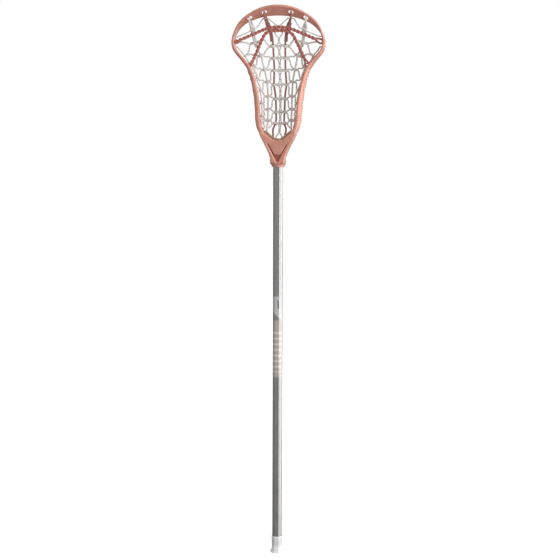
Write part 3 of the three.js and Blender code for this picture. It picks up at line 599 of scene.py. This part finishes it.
def stopper_knot(tubes, line, radius, back=0.6, size=5.0, turns=2.3):
    """A few turns of a cord round its own end."""
    tail = resample(line[-60:], 0.25)
    far = lengths(tail)
    start = far[-1] - size - back
    inside = (far >= start) & (far <= start + size)
    core = tail[inside]
    along, side, up = frames_along(core)
    s = np.linspace(0, 1, len(core))
    angle = math.tau * turns * s
    reach = radius * 1.72
    helix = core + reach * (np.cos(angle)[:, None] * side + np.sin(angle)[:, None] * up)
    tubes.add(helix, radius * 0.78, sides=10, step=0.6, braid=0.06)


def thong_line(slot, hole, line, tail, side):
    x, z, _ = slot
    front = between(RIM_FRONT, z + 11)
    heights = [h for h, _ in line if h > hole[1] + 12][::-1]
    middle = line_point(line, 1)
    points = tail + [
        (x, front + 5, z), (x, front + 9.5, z), (x, front + 15.2, z), (x - 0.4, front + 19.2, z - 2),
        (x - 1.6, front + 20.6, z - 7)]
    points += [middle(h) for h in heights] + throat_end(hole[0], hole[1], 1)
    return catmull([mirror(np.array(p, float), side) for p in points])


def thong(name, slot, hole, line, tail, wrapped, side):
    path = thong_line(slot, hole, line, tail, side)
    tubes = Tubes()
    tubes.add(path, THONG_R, sides=16, step=0.6, braid=0.07, pitch=4.2)
    thread = whipping(line, slot[1] - WHIPPING_DROP, wrapped, side)
    tubes.add(thread, WHIPPING_R, sides=10, step=0.5, braid=0.06)
    stopper_knot(tubes, path, THONG_R * 0.8)
    return tubes.piece(name)


def whipping(line, bottom, length, side):
    """Close turns of thread round a thong and its folded end."""
    share = np.linspace(0, 1, int(12 * length))
    angle = math.tau * share * length / (2 * WHIPPING_R)
    points = []
    for z, a in zip(bottom + length * share, angle):
        middle = net(between(line, z) + 1.6, z, -0.3)
        reach = [(THONG_R + 2.25) * math.cos(a), (THONG_R + 1) * math.sin(a), 0]
        points.append(mirror(middle + reach, side))
    return points


def hanger_tail(line, heights):
    """The folded end of a thong lies beside its own line."""
    return [net(between(line, z) + 3.1, z, -0.8) for z in heights]


def inner_thong(side):
    tail = hanger_tail(INNER_THONG_LINE, (1031, 1037, 1043, 1050, 1055))
    tail += [net(21.3, 1059.6, -1.6), net(22.6, 1063.4, -3.8), net(23.8, 1067.4, -7.2), (25, -17.4, 1073.5),
             (25.4, -21.2, 1079.8)]
    name = f"inner_thong_cord_{SIDE_NAME[side]}"
    return thong(name, INNER_SLOT, THROAT_HOLES[1], INNER_THONG_LINE, tail, 9, side)


def outer_thong(side):
    tail = hanger_tail(OUTER_THONG_LINE, (1021, 1028, 1036, 1044))
    tail += [net(52, 1052, 0.3), net(52.5, 1057, -3), (53.4, -15.8, 1063), (53.6, -19.6, 1069.2)]
    name = f"outer_thong_cord_{SIDE_NAME[side]}"
    return thong(name, OUTER_SLOT, THROAT_HOLES[2], OUTER_THONG_LINE, tail, 14, side)


def centre_line(side):
    """One and a half turns round the other lace between rows, and an eye at every row."""
    points = [net(side * 7, 1057, 0.4), net(side * 7, 1051, 0.6), net(side * 6.8, 1045, 0.4),
              net(side * 4, 1041)]
    stops = [MIDDLE_ROWS[0] + 22, *MIDDLE_ROWS, MIDDLE_ROWS[-1] - 27]
    for k, (upper, lower) in enumerate(zip(stops, stops[1:])):
        top = 1037.5 if k == 0 else upper - EYE_HALF
        bottom = 857 if k == len(MIDDLE_ROWS) else lower + EYE_HALF
        rounds = 1 if k == 0 else 1.5
        first = math.pi * (k + 1) if k else 0
        for share in np.linspace(0, 1, 19 if k else 13):
            angle = first + math.tau * rounds * share
            z = top + (bottom - top) * share
            points.append(net(side * CENTRE_R * math.cos(angle), z, CENTRE_R * math.sin(angle)))
        if k < len(MIDDLE_ROWS):
            sign = -1 if k % 2 else 1
            points.append(net(sign * side * MIDDLE_GAPS[k], lower))
    points.append(net(-side * 3.6, 852.6))
    return catmull(points + throat_end(THROAT_HOLES[0][0], THROAT_HOLES[0][1], -side))


def centre_lace(side):
    path = centre_line(side)
    tubes = Tubes()
    tubes.add(path, CENTRE_R, sides=12, step=0.6, braid=0.07, pitch=3)
    stopper_knot(tubes, path, CENTRE_R, size=4)
    stopper_knot(tubes, path[::-1], CENTRE_R, size=4)
    return tubes.piece(f"centre_lace_cord_{SIDE_NAME[side]}")


def corner(x, z, inward, side):
    """Places where a lace comes down to a cell's corner, and the places where it leaves again."""
    arrive = [net(side * (x - 0.7 * inward), z + 3.2), net(side * (x + 0.6 * inward), z + 1.5)]
    leave = [net(side * (x + 0.6 * inward), z - 1.5), net(side * (x - 0.7 * inward), z - 3.2)]
    return arrive, leave


def inner_cross_lace(side):
    """Zigzags between the centre laces and the outer thong, doubled from each corner to its hook."""
    inner = line_point(INNER_THONG_LINE, side)
    outer = line_point(OUTER_THONG_LINE, side)
    lap = THONG_R + LACE_R + 0.1
    points = [net(side * 31.5, 1037, -1), net(side * 29, 1034.5, -0.6)]
    for k, row in enumerate(MIDDLE_ROWS):
        arrive, leave = corner(MIDDLE_CORNERS[k], row - 0.6, -1, side)
        points += arrive
        points += turns_about(inner, row, lap, side, [(-30, 1.3), (-90, 1.3), (-150, 1.2)])
        stagger = 1.3 * side if MIDDLE_GAPS[k] < 3 else 0.4 * side
        post = upright_point(side * MIDDLE_GAPS[k])
        points += turns_about(post, row + stagger, CENTRE_R + LACE_R, side, [
            (-90, 0.8), (180, 0), (90, -0.8)])
        points += turns_about(inner, row, lap, side, [
            (165, 1.1), (90, 1), (10, 0.6), (-90, 0), (-170, -0.7), (-270, -1.4), (-345, -1.7)])
        points += leave
        if k < len(THONG_ROWS):
            height = THONG_ROWS[k]
            x = between(OUTER_THONG_LINE, height) - THONG_CORNER_IN
            arrive, leave = corner(x, height + THONG_TILTS[k], 1, side)
            points += arrive
            points += turns_about(outer, height, lap, side, [
                (165, 1.5), (90, 1.2), (0, 0.6), (-90, 0), (-165, -0.8)])
            points += leave
    points += [net(side * 19.4, 868.4), net(side * 21, 866.5)]
    return lace_piece("inner_cross_lace_cord", points, side)


def outer_cross_lace(side):
    """Zigzags between the outer thong's rows and the sidewall string."""
    outer = line_point(OUTER_THONG_LINE, side)
    lap = THONG_R + LACE_R + 0.1
    low = SHOOTER_LIFT + 1.4
    points = [net(side * x, z, lift) for x, z, lift in (
        (79.7, 1027.3, 0), (74.9, 1029.4, 0), (63.8, 1028.3, 0), (57, 1026.8, 0.4), (53, 1028.4, 1.6),
        (46, 1029.6, 3), (39.6, 1031.6, 2), (36.4, 1032, low), (37.2, 1030, low - 1.8), (41, 1028.2, -2.6),
        (46.8, 1027.4, -3), (51.6, 1026, -1.2), (55.4, 1024.6, 0), (57.4, 1018.2, 0), (58.8, 1012.6, 0),
        (60.6, 1009, 0.6), (65.4, 1005.6, 2.2), (68, 1003.6, 0), (65.6, 1003, -2.2), (60, 1006, -0.8),
        (55.5, 1007.3, 0), (51, 1005.8, 1), (46.4, 1004.6, 1.6))]
    for k, row in enumerate(THONG_ROWS):
        x = between(OUTER_THONG_LINE, row) + THONG_CORNER_OUT
        arrive, leave = corner(x, row - THONG_TILTS[k], -1, side)
        points += arrive if k else [net(side * (x - 1.4), row + 0.3, 0.8)]
        points += turns_about(outer, row, lap, side, [
            (-15, 0.4), (-90, 0.2), (-180, -0.6), (-270, -1.3), (-345, -1.6)])
        points += leave
        if k < len(SIDE_HOOKS):
            x, z = SIDE_HOOKS[k]
            points += [net(side * (x - 3.4), z + 3.4)]
            points += turns_about(upright_point(side * (x + 0.4)), z, 2 * LACE_R, side, [
                (160, 1.6), (90, 1), (0, 0), (-90, -1), (-160, -1.6)])
            points += [net(side * (x - 3.4), z - 3.4)]
    points += [net(side * 28.6, 867.4), net(side * 30, 866)]
    return lace_piece("outer_cross_lace_cord", points, side)


def lace_piece(name, points, side):
    tubes = Tubes()
    tubes.add(catmull(points), LACE_R, **LACE_BRAID)
    return tubes.piece(f"{name}_{SIDE_NAME[side]}")


def sidewall_string(side):
    """Runs down past each hook of the outer lace, where a stitch ties it to the wall."""
    points = wall_points(SIDE_STRING_TOP, (-0.4, 5, 9), side)
    points += [net(side * x, z) for x, z in (
        (75.5, 1014.4), (71, 1009.6), (66.4, 1004.2), (62.5, 996.8), (58, 991))]
    for x, z in SIDE_HOOKS:
        points += [net(side * (x + 0.8), z + 4), net(side * (x + 0.4), z), net(side * (x + 0.8), z - 4)]
    points += wall_points(SIDE_STRING_BOTTOM, (10.5, 6, 0.6), side)
    tubes = Tubes()
    tubes.add(catmull(points), LACE_R * 0.9, **LACE_BRAID)
    for (x, z), height in zip(SIDE_HOOKS, STITCH_HEIGHTS):
        tubes.add(catmull(stitch(x, z, height, side)), LACE_R * 0.9, **LACE_BRAID)
    return tubes.piece(f"sidewall_string_cord_{SIDE_NAME[side]}")


def stitch(x, z, height, side):
    """A short link from the string's hook out through one hole in the wall and back through the next."""
    outline = section_at(wall_station(height)[0][2])
    outer_face = (outline[3][0] + outline[4][0]) / 2 - LACE_R + 0.3
    out = wall_points(height + STITCH_HALF, (9.5, 4, outer_face), side)
    back = wall_points(height - STITCH_HALF, (outer_face, 4, 9.5), side)
    return [net(side * (x - 1.2), z + 1), net(side * (x + 1.6), z + 2), *out, *back,
            net(side * (x + 1.6), z - 2), net(side * (x - 1.2), z - 1)]


def across(half):
    """The left half mirrored, then the right half, of a string that crosses the head."""
    half = [np.array(p, float) for p in half]
    return [mirror(p, -1) for p in half] + half[-2::-1]


def top_string():
    path = catmull(across([
        *wall_points(TOP_STRING_HEIGHT, (0.6, 4, 8)),
        net(68.2, 1043.2, -3.6), net(60, 1046.4, -5), net(53, 1050.4, -5.8), net(50, 1052, -5.8),
        net(44, 1053.8, -5), net(40.8, 1055.8, -3.4), net(37.2, 1061.2, -2.4),
        (32.2, -6.8, 1068.6), (29.8, -7.4, 1071.8), (27.4, -7.6, 1072.6),
        (19.8, -7.8, 1072.6), (17.4, -7.8, 1071.6), (12.4, -8, 1067.4),
        net(6.4, 1062.4, -3), net(2, 1059.8, -3), net(0, 1059.4, -3)]))
    tubes = Tubes()
    tubes.add(path, 1.15, **LACE_BRAID)
    return tubes.piece("top_string_cord")


def shooting_string(name, height, line):
    """Two cords twisted round each other that part before the right wall, knotted at the left wall."""
    half = wall_points(height, (1, 4.5, 8.5))
    half += [net(x, z, SHOOTER_LIFT) for x, z in line]
    path = resample(catmull(across(half)), 0.7)
    along, side, up = frames_along(path)
    far = lengths(path)
    from_right = far[-1] - far
    parting = int(np.argmax(from_right < PARTING))
    upright = math.atan2(up[parting] @ Z, side[parting] @ Z)
    angle = upright + math.tau * np.minimum(far - far[parting], 0) / TWIST_PITCH
    reach = PLY_R * np.clip(np.minimum(far, from_right) / 9, 0.45, 0.95)
    reach = reach + np.interp(from_right, [0, 3.5, 7.5, PARTING], [0, 0, 2.8, 0])
    tubes = Tubes()
    for phase in (0, math.pi):
        turn = angle + phase
        ply = path + reach[:, None] * (np.cos(turn)[:, None] * side + np.sin(turn)[:, None] * up)
        tubes.add(ply, PLY_R, sides=12, step=0.7, braid=0.06, pitch=3)
    cut = path[::-1][lengths(path[::-1]) < far[-1] - 5.5]
    stopper_knot(tubes, resample(cut, 0.25), PLY_R * 1.15, size=4, back=0, turns=1.6)
    return tubes.piece(name)


# -------- handle, screw and cap

def handle_radius(turn, scale):
    """An octagon's radius at an angle, with rounded corners and slightly hollow sides."""
    a = (turn + math.pi / 8) % (math.pi / 4) - math.pi / 8
    flat = math.cos(math.pi / 8) / math.cos(a)
    hollow = 0.012 * math.cos(4 * a) ** 2
    corner = abs(a) / (math.pi / 8)
    soft = 0.018 * max(0, (corner - 0.8) / 0.2) ** 2
    return scale * (flat - hollow - soft)


def eight_sided(name, profile, sides, swell=1.0):
    """A closed skin from rows of (radius, z, share). Share 0 is round and 1 has the handle's shape."""
    verts = []
    for r, z, share in profile:
        for t in round_angles(sides):
            k = r * (1 - share) + handle_radius(t, r) * share * swell
            verts.append((k * math.cos(t), k * math.sin(t), z))
    return mesh_object(name, verts, skin(len(profile), sides, closed=True))


def handle_tube():
    outer, inner = SHAFT_RADIUS, SHAFT_RADIUS - SHAFT_WALL / math.cos(math.pi / 8)
    profile = [(inner, SHAFT_BOTTOM, 1), (outer - 0.25, SHAFT_BOTTOM, 1), (outer, SHAFT_BOTTOM + 0.3, 1)]
    profile += [(outer, z, 1) for z in np.linspace(40, 800, 39)]
    profile += [(outer, SHAFT_TOP - 0.3, 1), (outer - 0.25, SHAFT_TOP, 1), (inner, SHAFT_TOP, 1)]
    tube = eight_sided("handle_tube", profile, 160)
    hole = rod("hole", (0, 3, SCREW_HEIGHT), (0, 20, SCREW_HEIGHT), HANDLE_HOLE_R)
    boolean(tube, [hole], "DIFFERENCE")
    shade(tube.data, 30)
    return tube


def butt_cap():
    cavity = SHAFT_RADIUS + CAP_CLEARANCE
    profile = [
        (2.6, 0.9, 0), (2.6, 0.25, 0), (3.2, 0, 0), (13.8, 0, 1), (14.6, 0.3, 1), (14.9, 0.8, 1),
        (14.9, 1.7, 1), (14.5, 2.2, 1), (13.4, 2.6, 1), (12.5, 3.2, 1), (11.9, 4.2, 1), (11.6, 5.6, 1),
        (11.6, 12.6, 1), (11.25, 12.9, 1), (11.25, 13.5, 1), (11.6, 13.8, 1), (11.6, 15.6, 1),
        (11.25, 15.9, 1), (11.25, 16.5, 1), (11.6, 16.8, 1), (11.6, 30.4, 1), (12.05, 31.1, 1),
        (12.05, 33.3, 1), (11.6, 34, 1), (11.6, 35, 1), (11.3, 35.5, 1), (cavity + 0.1, 35.5, 1),
        (cavity, 35.1, 1), (cavity, 4.6, 1), (3, 4.5, 0), (2.6, 4.2, 0),
    ]
    cap = eight_sided("butt_cap_rubber", profile, 128, swell=1.004)
    shade(cap.data, 50)
    return cap


def lock_screw():
    profile = [(0.4, 6.6), (1.2, 6.7), (1.6, 7.4)]
    for k in range(9):
        z = 7.8 + 0.72 * k
        profile += [(1.9, z), (1.9, z + 0.12), (1.6, z + 0.36), (1.6, z + 0.46)]
    profile += [(1.9, 14.2), (3.4, 14.2), (3.9, 14.5), (3.9, 15.5), (3.5, 16.2), (2.2, 16.55), (0.4, 16.6)]
    screw = lathe("lock_screw_steel", profile, sides=40)
    upward = Matrix.Translation((0, 0, SCREW_HEIGHT * MM))
    screw.data.transform(upward @ Matrix.Rotation(-math.pi / 2, 4, "X"))
    face_outward(screw.data)
    arms = [slab("arm", [(u, SCREW_HEIGHT + w) for u, w in ((-a, -b), (a, -b), (a, b), (-a, b))], 15.1, 20)
            for a, b in ((2.1, 0.5), (0.5, 2.1))]
    boolean(screw, arms, "DIFFERENCE")
    shade(screw.data, 35)
    return screw


# -------- materials

def linear(r, g, b):
    """Linear colour from sRGB numbers of 0 to 255."""
    def one(c):
        c /= 255
        return c / 12.92 if c <= 0.04045 else ((c + 0.055) / 1.055) ** 2.4
    return (one(r), one(g), one(b), 1)


class Graph:
    """Adds linked nodes to a node tree. What goes into a node is another node's output or a constant."""

    def __init__(self, tree):
        self.nodes, self.links = tree.nodes, tree.links

    def feed(self, node, inputs):
        for key, value in inputs.items():
            if isinstance(value, bpy.types.NodeSocket):
                self.links.new(value, node.inputs[key])
            else:
                node.inputs[key].default_value = value

    def add(self, kind, inputs, **settings):
        node = self.nodes.new(kind)
        for name, value in settings.items():
            setattr(node, name, value)
        self.feed(node, inputs)
        return node

    def coords(self, kind):
        return self.add("ShaderNodeTexCoord", {}).outputs[kind]

    def split(self, vector):
        return self.add("ShaderNodeSeparateXYZ", {0: vector}).outputs

    def math(self, operation, *values):
        return self.add("ShaderNodeMath", dict(enumerate(values)), operation=operation).outputs[0]

    def product(self, first, *others):
        for other in others:
            first = self.math("MULTIPLY", first, other)
        return first

    def band(self, value, low, high):
        """1 between two limits and 0 beyond them."""
        return self.product(self.math("GREATER_THAN", value, low), self.math("LESS_THAN", value, high))

    def map_range(self, value, low, high, start=0.0, end=1.0):
        """Takes start to low and end to high, and holds these beyond."""
        inputs = {"Value": value, "From Min": start, "From Max": end, "To Min": low, "To Max": high}
        return self.add("ShaderNodeMapRange", inputs).outputs["Result"]

    def ramp(self, source, stops):
        node = self.add("ShaderNodeValToRGB", {"Fac": source})
        while len(node.color_ramp.elements) < len(stops):
            node.color_ramp.elements.new(0.5)
        for element, (place, colour) in zip(node.color_ramp.elements, stops):
            element.position = place
            element.color = colour
        return node.outputs["Color"]

    def noise(self, coords, scale, detail):
        inputs = {"Vector": coords, "Scale": scale, "Detail": detail}
        return self.add("ShaderNodeTexNoise", inputs).outputs["Fac"]

    def mix(self, factor, below, above, blend_type="MIX"):
        inputs = {"Factor": factor, 6: below, 7: above}
        return self.add("ShaderNodeMix", inputs, data_type="RGBA", blend_type=blend_type).outputs[2]

    def bump(self, height, distance_mm, strength=1.0):
        inputs = {"Height": height, "Distance": distance_mm * MM, "Strength": strength}
        return self.add("ShaderNodeBump", inputs).outputs["Normal"]


def new_material(name):
    mat = bpy.data.materials.new(name)
    mat.use_nodes = True
    return mat, Graph(mat.node_tree), mat.node_tree.nodes["Principled BSDF"]


# Painted shade in the throat's recess, in metres: depths over which the painted shade deepens, its back and
# its heights.
RECESS_SHADE_FADE, RECESS_BACK, RECESS_HEIGHTS = (-0.0146, -0.0128), -0.0105, (0.8, 0.838)


def darker_recess(graph, coords, colour):
    """Painted shade: the floor of the throat's recess is darkened in colour, in place of the shade that
    falls in the deep recess.
    """
    _, y, z = graph.split(coords)
    depth = graph.map_range(y, 0, 1, *RECESS_SHADE_FADE)
    inside = graph.product(depth, graph.math("LESS_THAN", y, RECESS_BACK), graph.band(z, *RECESS_HEIGHTS))
    # painted shade: the recess floor's colour is multiplied by this brown tint
    return graph.mix(inside, colour, (0.66, 0.5, 0.43, 1), "MULTIPLY")


def copper_plastic():
    mat, graph, shader = new_material("copper_plastic")
    coords = graph.coords("Object")
    flakes = graph.noise(coords, 2600, 1)
    clouds = graph.noise(coords, 60, 3)
    grain = graph.add("ShaderNodeMix", {"Factor": 0.35, 2: clouds, 3: flakes}, data_type="FLOAT").outputs[0]
    colour = graph.ramp(grain, [
        (0.3, linear(207, 139, 120)), (0.5, linear(224, 156, 137)), (0.7, linear(237, 170, 152))])
    # the base colour carries painted shade in the throat's recess
    graph.feed(shader, {
        "Base Color": darker_recess(graph, coords, colour), "Roughness": graph.map_range(clouds, 0.3, 0.44),
        "Metallic": 0.25, "Coat Weight": 0.35, "Coat Roughness": 0.25, "Normal": graph.bump(flakes, 0.02)})
    return mat


def cord_material(name, dark, middle, light, pitch=2.6):
    """Braided cord: strands cross each other on u, along in millimetres, and v, round the cord. The colour
    is darker in the hollows between strands, as painted shade, and varies at random with a fine noise.
    """
    mat, graph, shader = new_material(name)
    u, v, _ = graph.split(graph.coords("UV"))
    along = graph.product(u, math.pi / pitch)
    around = graph.product(v, 4 * math.pi)
    strands = [graph.math("ABSOLUTE", graph.math("SINE", graph.math(way, along, around)))
               for way in ("ADD", "SUBTRACT")]
    weave = graph.math("MAXIMUM", *strands)
    fuzz = graph.noise(graph.coords("Object"), 900, 2)
    braid_relief_and_shade = graph.math("ADD", graph.product(weave, 0.6), graph.product(fuzz, 0.4))
    # painted shade: the ramp darkens the colour where the braid's bump is low, with random tone from the
    # noise
    graph.feed(shader, {
        "Base Color": graph.ramp(braid_relief_and_shade, [(0.35, dark), (0.62, middle), (0.85, light)]), "Roughness": 0.85,
        "Sheen Weight": 0.35, "Sheen Roughness": 0.5, "Normal": graph.bump(braid_relief_and_shade, 0.25, 0.5)})
    return mat


# The print on the front of the handle, in metres.
PRINT_HALF_WIDTH = 0.0084
LABEL_HEIGHTS, BAR_HEIGHTS, BAR_PITCH = (0.372, 0.488), (0.382, 0.468), 0.0115
BADGE_BOTTOM, BADGE_TOP, BADGE_SLANT = 0.4965, 0.536, 0.9
MARK_PLACES, MARK_HEIGHTS = (0.0006, 0.0036), (0.512, 0.53)


def alloy_with_graphic():
    """Satin anodised alloy with fine lengthwise grain, a plain badge and a barred label half way up."""
    mat, graph, shader = new_material("satin_alloy")
    coords = graph.coords("Object")
    stretched = graph.add("ShaderNodeMapping", {"Vector": coords, "Scale": (1, 1, 0.02)}).outputs["Vector"]
    grain = graph.noise(stretched, 2400, 2)
    x, y, z = graph.split(coords)
    front = graph.product(graph.band(x, -PRINT_HALF_WIDTH, PRINT_HALF_WIDTH), graph.math("LESS_THAN", y, 0))
    fade = graph.math("SUBTRACT", 1, graph.product(graph.math("GREATER_THAN", x, 0.004), 0.6))
    label = graph.product(front, fade, graph.band(z, *LABEL_HEIGHTS))
    stripes = graph.math("LESS_THAN", graph.math("FRACT", graph.product(z, 1 / BAR_PITCH)), 0.42)
    bars = graph.product(label, graph.band(z, *BAR_HEIGHTS), stripes)
    slanted = graph.math("ADD", z, graph.product(x, BADGE_SLANT))
    badge = graph.product(front, fade, graph.math("GREATER_THAN", slanted, BADGE_BOTTOM),
                          graph.math("LESS_THAN", z, BADGE_TOP))
    mark = graph.product(badge, graph.band(x, *MARK_PLACES), graph.band(z, *MARK_HEIGHTS))
    colour = graph.ramp(grain, [(0.35, linear(165, 163, 162)), (0.65, linear(195, 194, 193))])
    for place, paint in ((label, linear(206, 195, 188)), (bars, linear(236, 230, 225)),
                         (badge, linear(222, 222, 221)), (mark, linear(128, 130, 132))):
        colour = graph.mix(place, colour, paint)
    printed = graph.math("MAXIMUM", label, badge)
    graph.feed(shader, {
        "Base Color": colour, "Metallic": graph.math("SUBTRACT", 0.9, graph.product(printed, 0.5)),
        "Roughness": graph.map_range(grain, 0.28, 0.42), "Normal": graph.bump(grain, 0.015)})
    return mat


def plain_material(name, dark, light, scale, rough, metallic=0.0, bump_mm=0.05):
    mat, graph, shader = new_material(name)
    grain = graph.noise(graph.coords("Object"), scale, 4)
    graph.feed(shader, {
        "Base Color": graph.ramp(grain, [(0.35, dark), (0.65, light)]),
        "Roughness": graph.map_range(grain, rough - 0.07, rough + 0.07),
        "Metallic": metallic, "Normal": graph.bump(grain, bump_mm)})
    return mat


# -------- pieces

def place(obj, material, slot, body, *nodes):
    obj.data.materials.clear()
    obj.data.materials.append(material)
    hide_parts(*nodes)
    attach(obj, body)
    return obj


copper = copper_plastic()
alloy = alloy_with_graphic()
foam = plain_material(
    "closed_cell_foam", linear(160, 132, 108), linear(184, 155, 130), 1500, 0.9, bump_mm=0.2)
rubber = plain_material("white_rubber", linear(240, 240, 239), linear(247, 247, 246), 700, 0.6)
steel = plain_material("zinc_steel", linear(120, 118, 116), linear(150, 148, 146), 900, 0.32, 1.0, 0.01)
grey_cord = cord_material("grey_cord", linear(186, 181, 176), linear(227, 222, 217), linear(243, 239, 235))
pale_cord = cord_material("pale_cord", linear(190, 186, 181), linear(230, 226, 222), linear(245, 241, 238))
maroon_cord = cord_material(
    "maroon_cord", linear(100, 50, 46), linear(156, 92, 86), linear(188, 132, 126), pitch=4)
shooter_cord = cord_material(
    "shooting_cord", linear(112, 46, 38), linear(184, 92, 78), linear(216, 146, 132), pitch=3)

place(moulded_head(), copper, "head_plastic", "stick", "head_frame")
pad = place(foam_pad(), foam, "pad_foam", "stick", "ball_stop_pad")
place(handle_tube(), alloy, "shaft_alloy", "stick", "shaft")
place(butt_cap(), rubber, "cap_rubber", "end_cap", "end_cap")
place(lock_screw(), steel, "screw_steel", "head_screw", "head_screw")

for side in (1, -1):
    # Each function has its node's name.
    for make, cord, slot in (
            (inner_thong, maroon_cord, "maroon_string"), (outer_thong, pale_cord, "grey_string"),
            (centre_lace, pale_cord, "grey_string"), (inner_cross_lace, grey_cord, "grey_string"),
            (outer_cross_lace, grey_cord, "grey_string"), (sidewall_string, grey_cord, "grey_string")):
        place(make(side), cord, slot, "stick", f"{make.__name__}_{SIDE_NAME[side]}")
place(top_string(), grey_cord, "grey_string", "stick", "top_string")
for level, height, line in (("upper", UPPER_SHOOTER_HEIGHT, UPPER_SHOOTER_LINE),
                            ("lower", LOWER_SHOOTER_HEIGHT, LOWER_SHOOTER_LINE)):
    place(shooting_string(f"{level}_shooting_cord", height, line), shooter_cord,
          "shooting_string", "stick", f"{level}_shooting_string")


# -------- studio

FLOOR_HEIGHT = -0.042


def white_floor():
    """A wide white floor, just below the pulled cap. It glows, so that it stays even."""
    mesh = bpy.data.meshes.new("studio_floor")
    corners = [(-12, -12), (12, -12), (12, 12), (-12, 12)]
    mesh.from_pydata([(x, y, FLOOR_HEIGHT) for x, y in corners], [], [(0, 1, 2, 3)])
    mat, graph, shader = new_material("studio_white")
    graph.feed(shader, {
        "Base Color": (0.8, 0.8, 0.8, 1), "Roughness": 0.9, "Specular IOR Level": 0.1,
        "Emission Color": (1, 1, 1, 1), "Emission Strength": 0.7})
    mesh.materials.append(mat)
    obj = linked("studio_floor", mesh)
    obj.visible_diffuse = False
    obj.visible_glossy = False


def area_light(name, place_m, aim, size, power):
    data = bpy.data.lights.new(name, "AREA")
    data.shape = "RECTANGLE"
    data.size, data.size_y = size
    data.energy = power
    light = linked(name, data)
    light.location = place_m
    light.rotation_euler = (Vector(aim) - Vector(place_m)).to_track_quat("-Z", "Y").to_euler()


def room():
    """Looks plain white, but lights the stick as a dim room, brighter on the right and darker low down."""
    world = bpy.data.worlds.new("studio")
    world.use_nodes = True
    graph = Graph(world.node_tree)
    x, _, z = graph.split(graph.coords("Generated"))
    glow = graph.ramp(x, [(0.0, (0.39, 0.39, 0.39, 1)), (0.55, (0.8, 0.8, 0.8, 1))])
    height = graph.map_range(z, 0.6, 1, start=-0.4, end=-0.05)
    light = graph.add("ShaderNodeVectorMath", {0: glow, "Scale": height}, operation="SCALE").outputs[0]
    seen = graph.add("ShaderNodeLightPath", {}).outputs["Is Camera Ray"]
    graph.feed(world.node_tree.nodes["Background"], {
        "Color": graph.mix(seen, light, (1, 1, 1, 1)), "Strength": 1.0})
    bpy.context.scene.world = world


def lamps():
    area_light("key", (2.7, -0.8, 0.6), (0, 0, 0.5), (1.5, 3.6), 37)
    area_light("front", (1.9, -2.4, 0.7), (0, 0, 0.9), (1, 1.8), 20)
    area_light("fill", (-2.6, -2.6, 1.2), (0, 0, 0.6), (1.6, 2.6), 8)
    area_light("top", (0.8, -1.4, 3.4), (0, 0, 0.9), (1.6, 1.6), 13)
    area_light("back", (1.2, 2.8, 1.5), (0, 0, 0.7), (1.8, 2.4), 16)


CAMERA_PLACE, FOCAL_LENGTH = (0.2454, -2.015, 0.887), 66.56
TILT_DOWN, TURN_LEFT, ROLL = 0.1559, 0.11905, 0.003656


def camera():
    """Two metres in front, a little to the right, level with the throat's upper side and tilted down."""
    data = bpy.data.cameras.new("camera")
    data.sensor_width = 36
    data.lens = FOCAL_LENGTH
    cam = linked("camera", data)
    cam.location = CAMERA_PLACE
    cam.rotation_euler = (math.pi / 2 - TILT_DOWN, 0.0, TURN_LEFT)
    cam.rotation_euler.rotate_axis("Z", ROLL)
    bpy.context.scene.camera = cam


white_floor()
room()
lamps()
camera()
bpy.context.scene.view_settings.view_transform = "Standard"
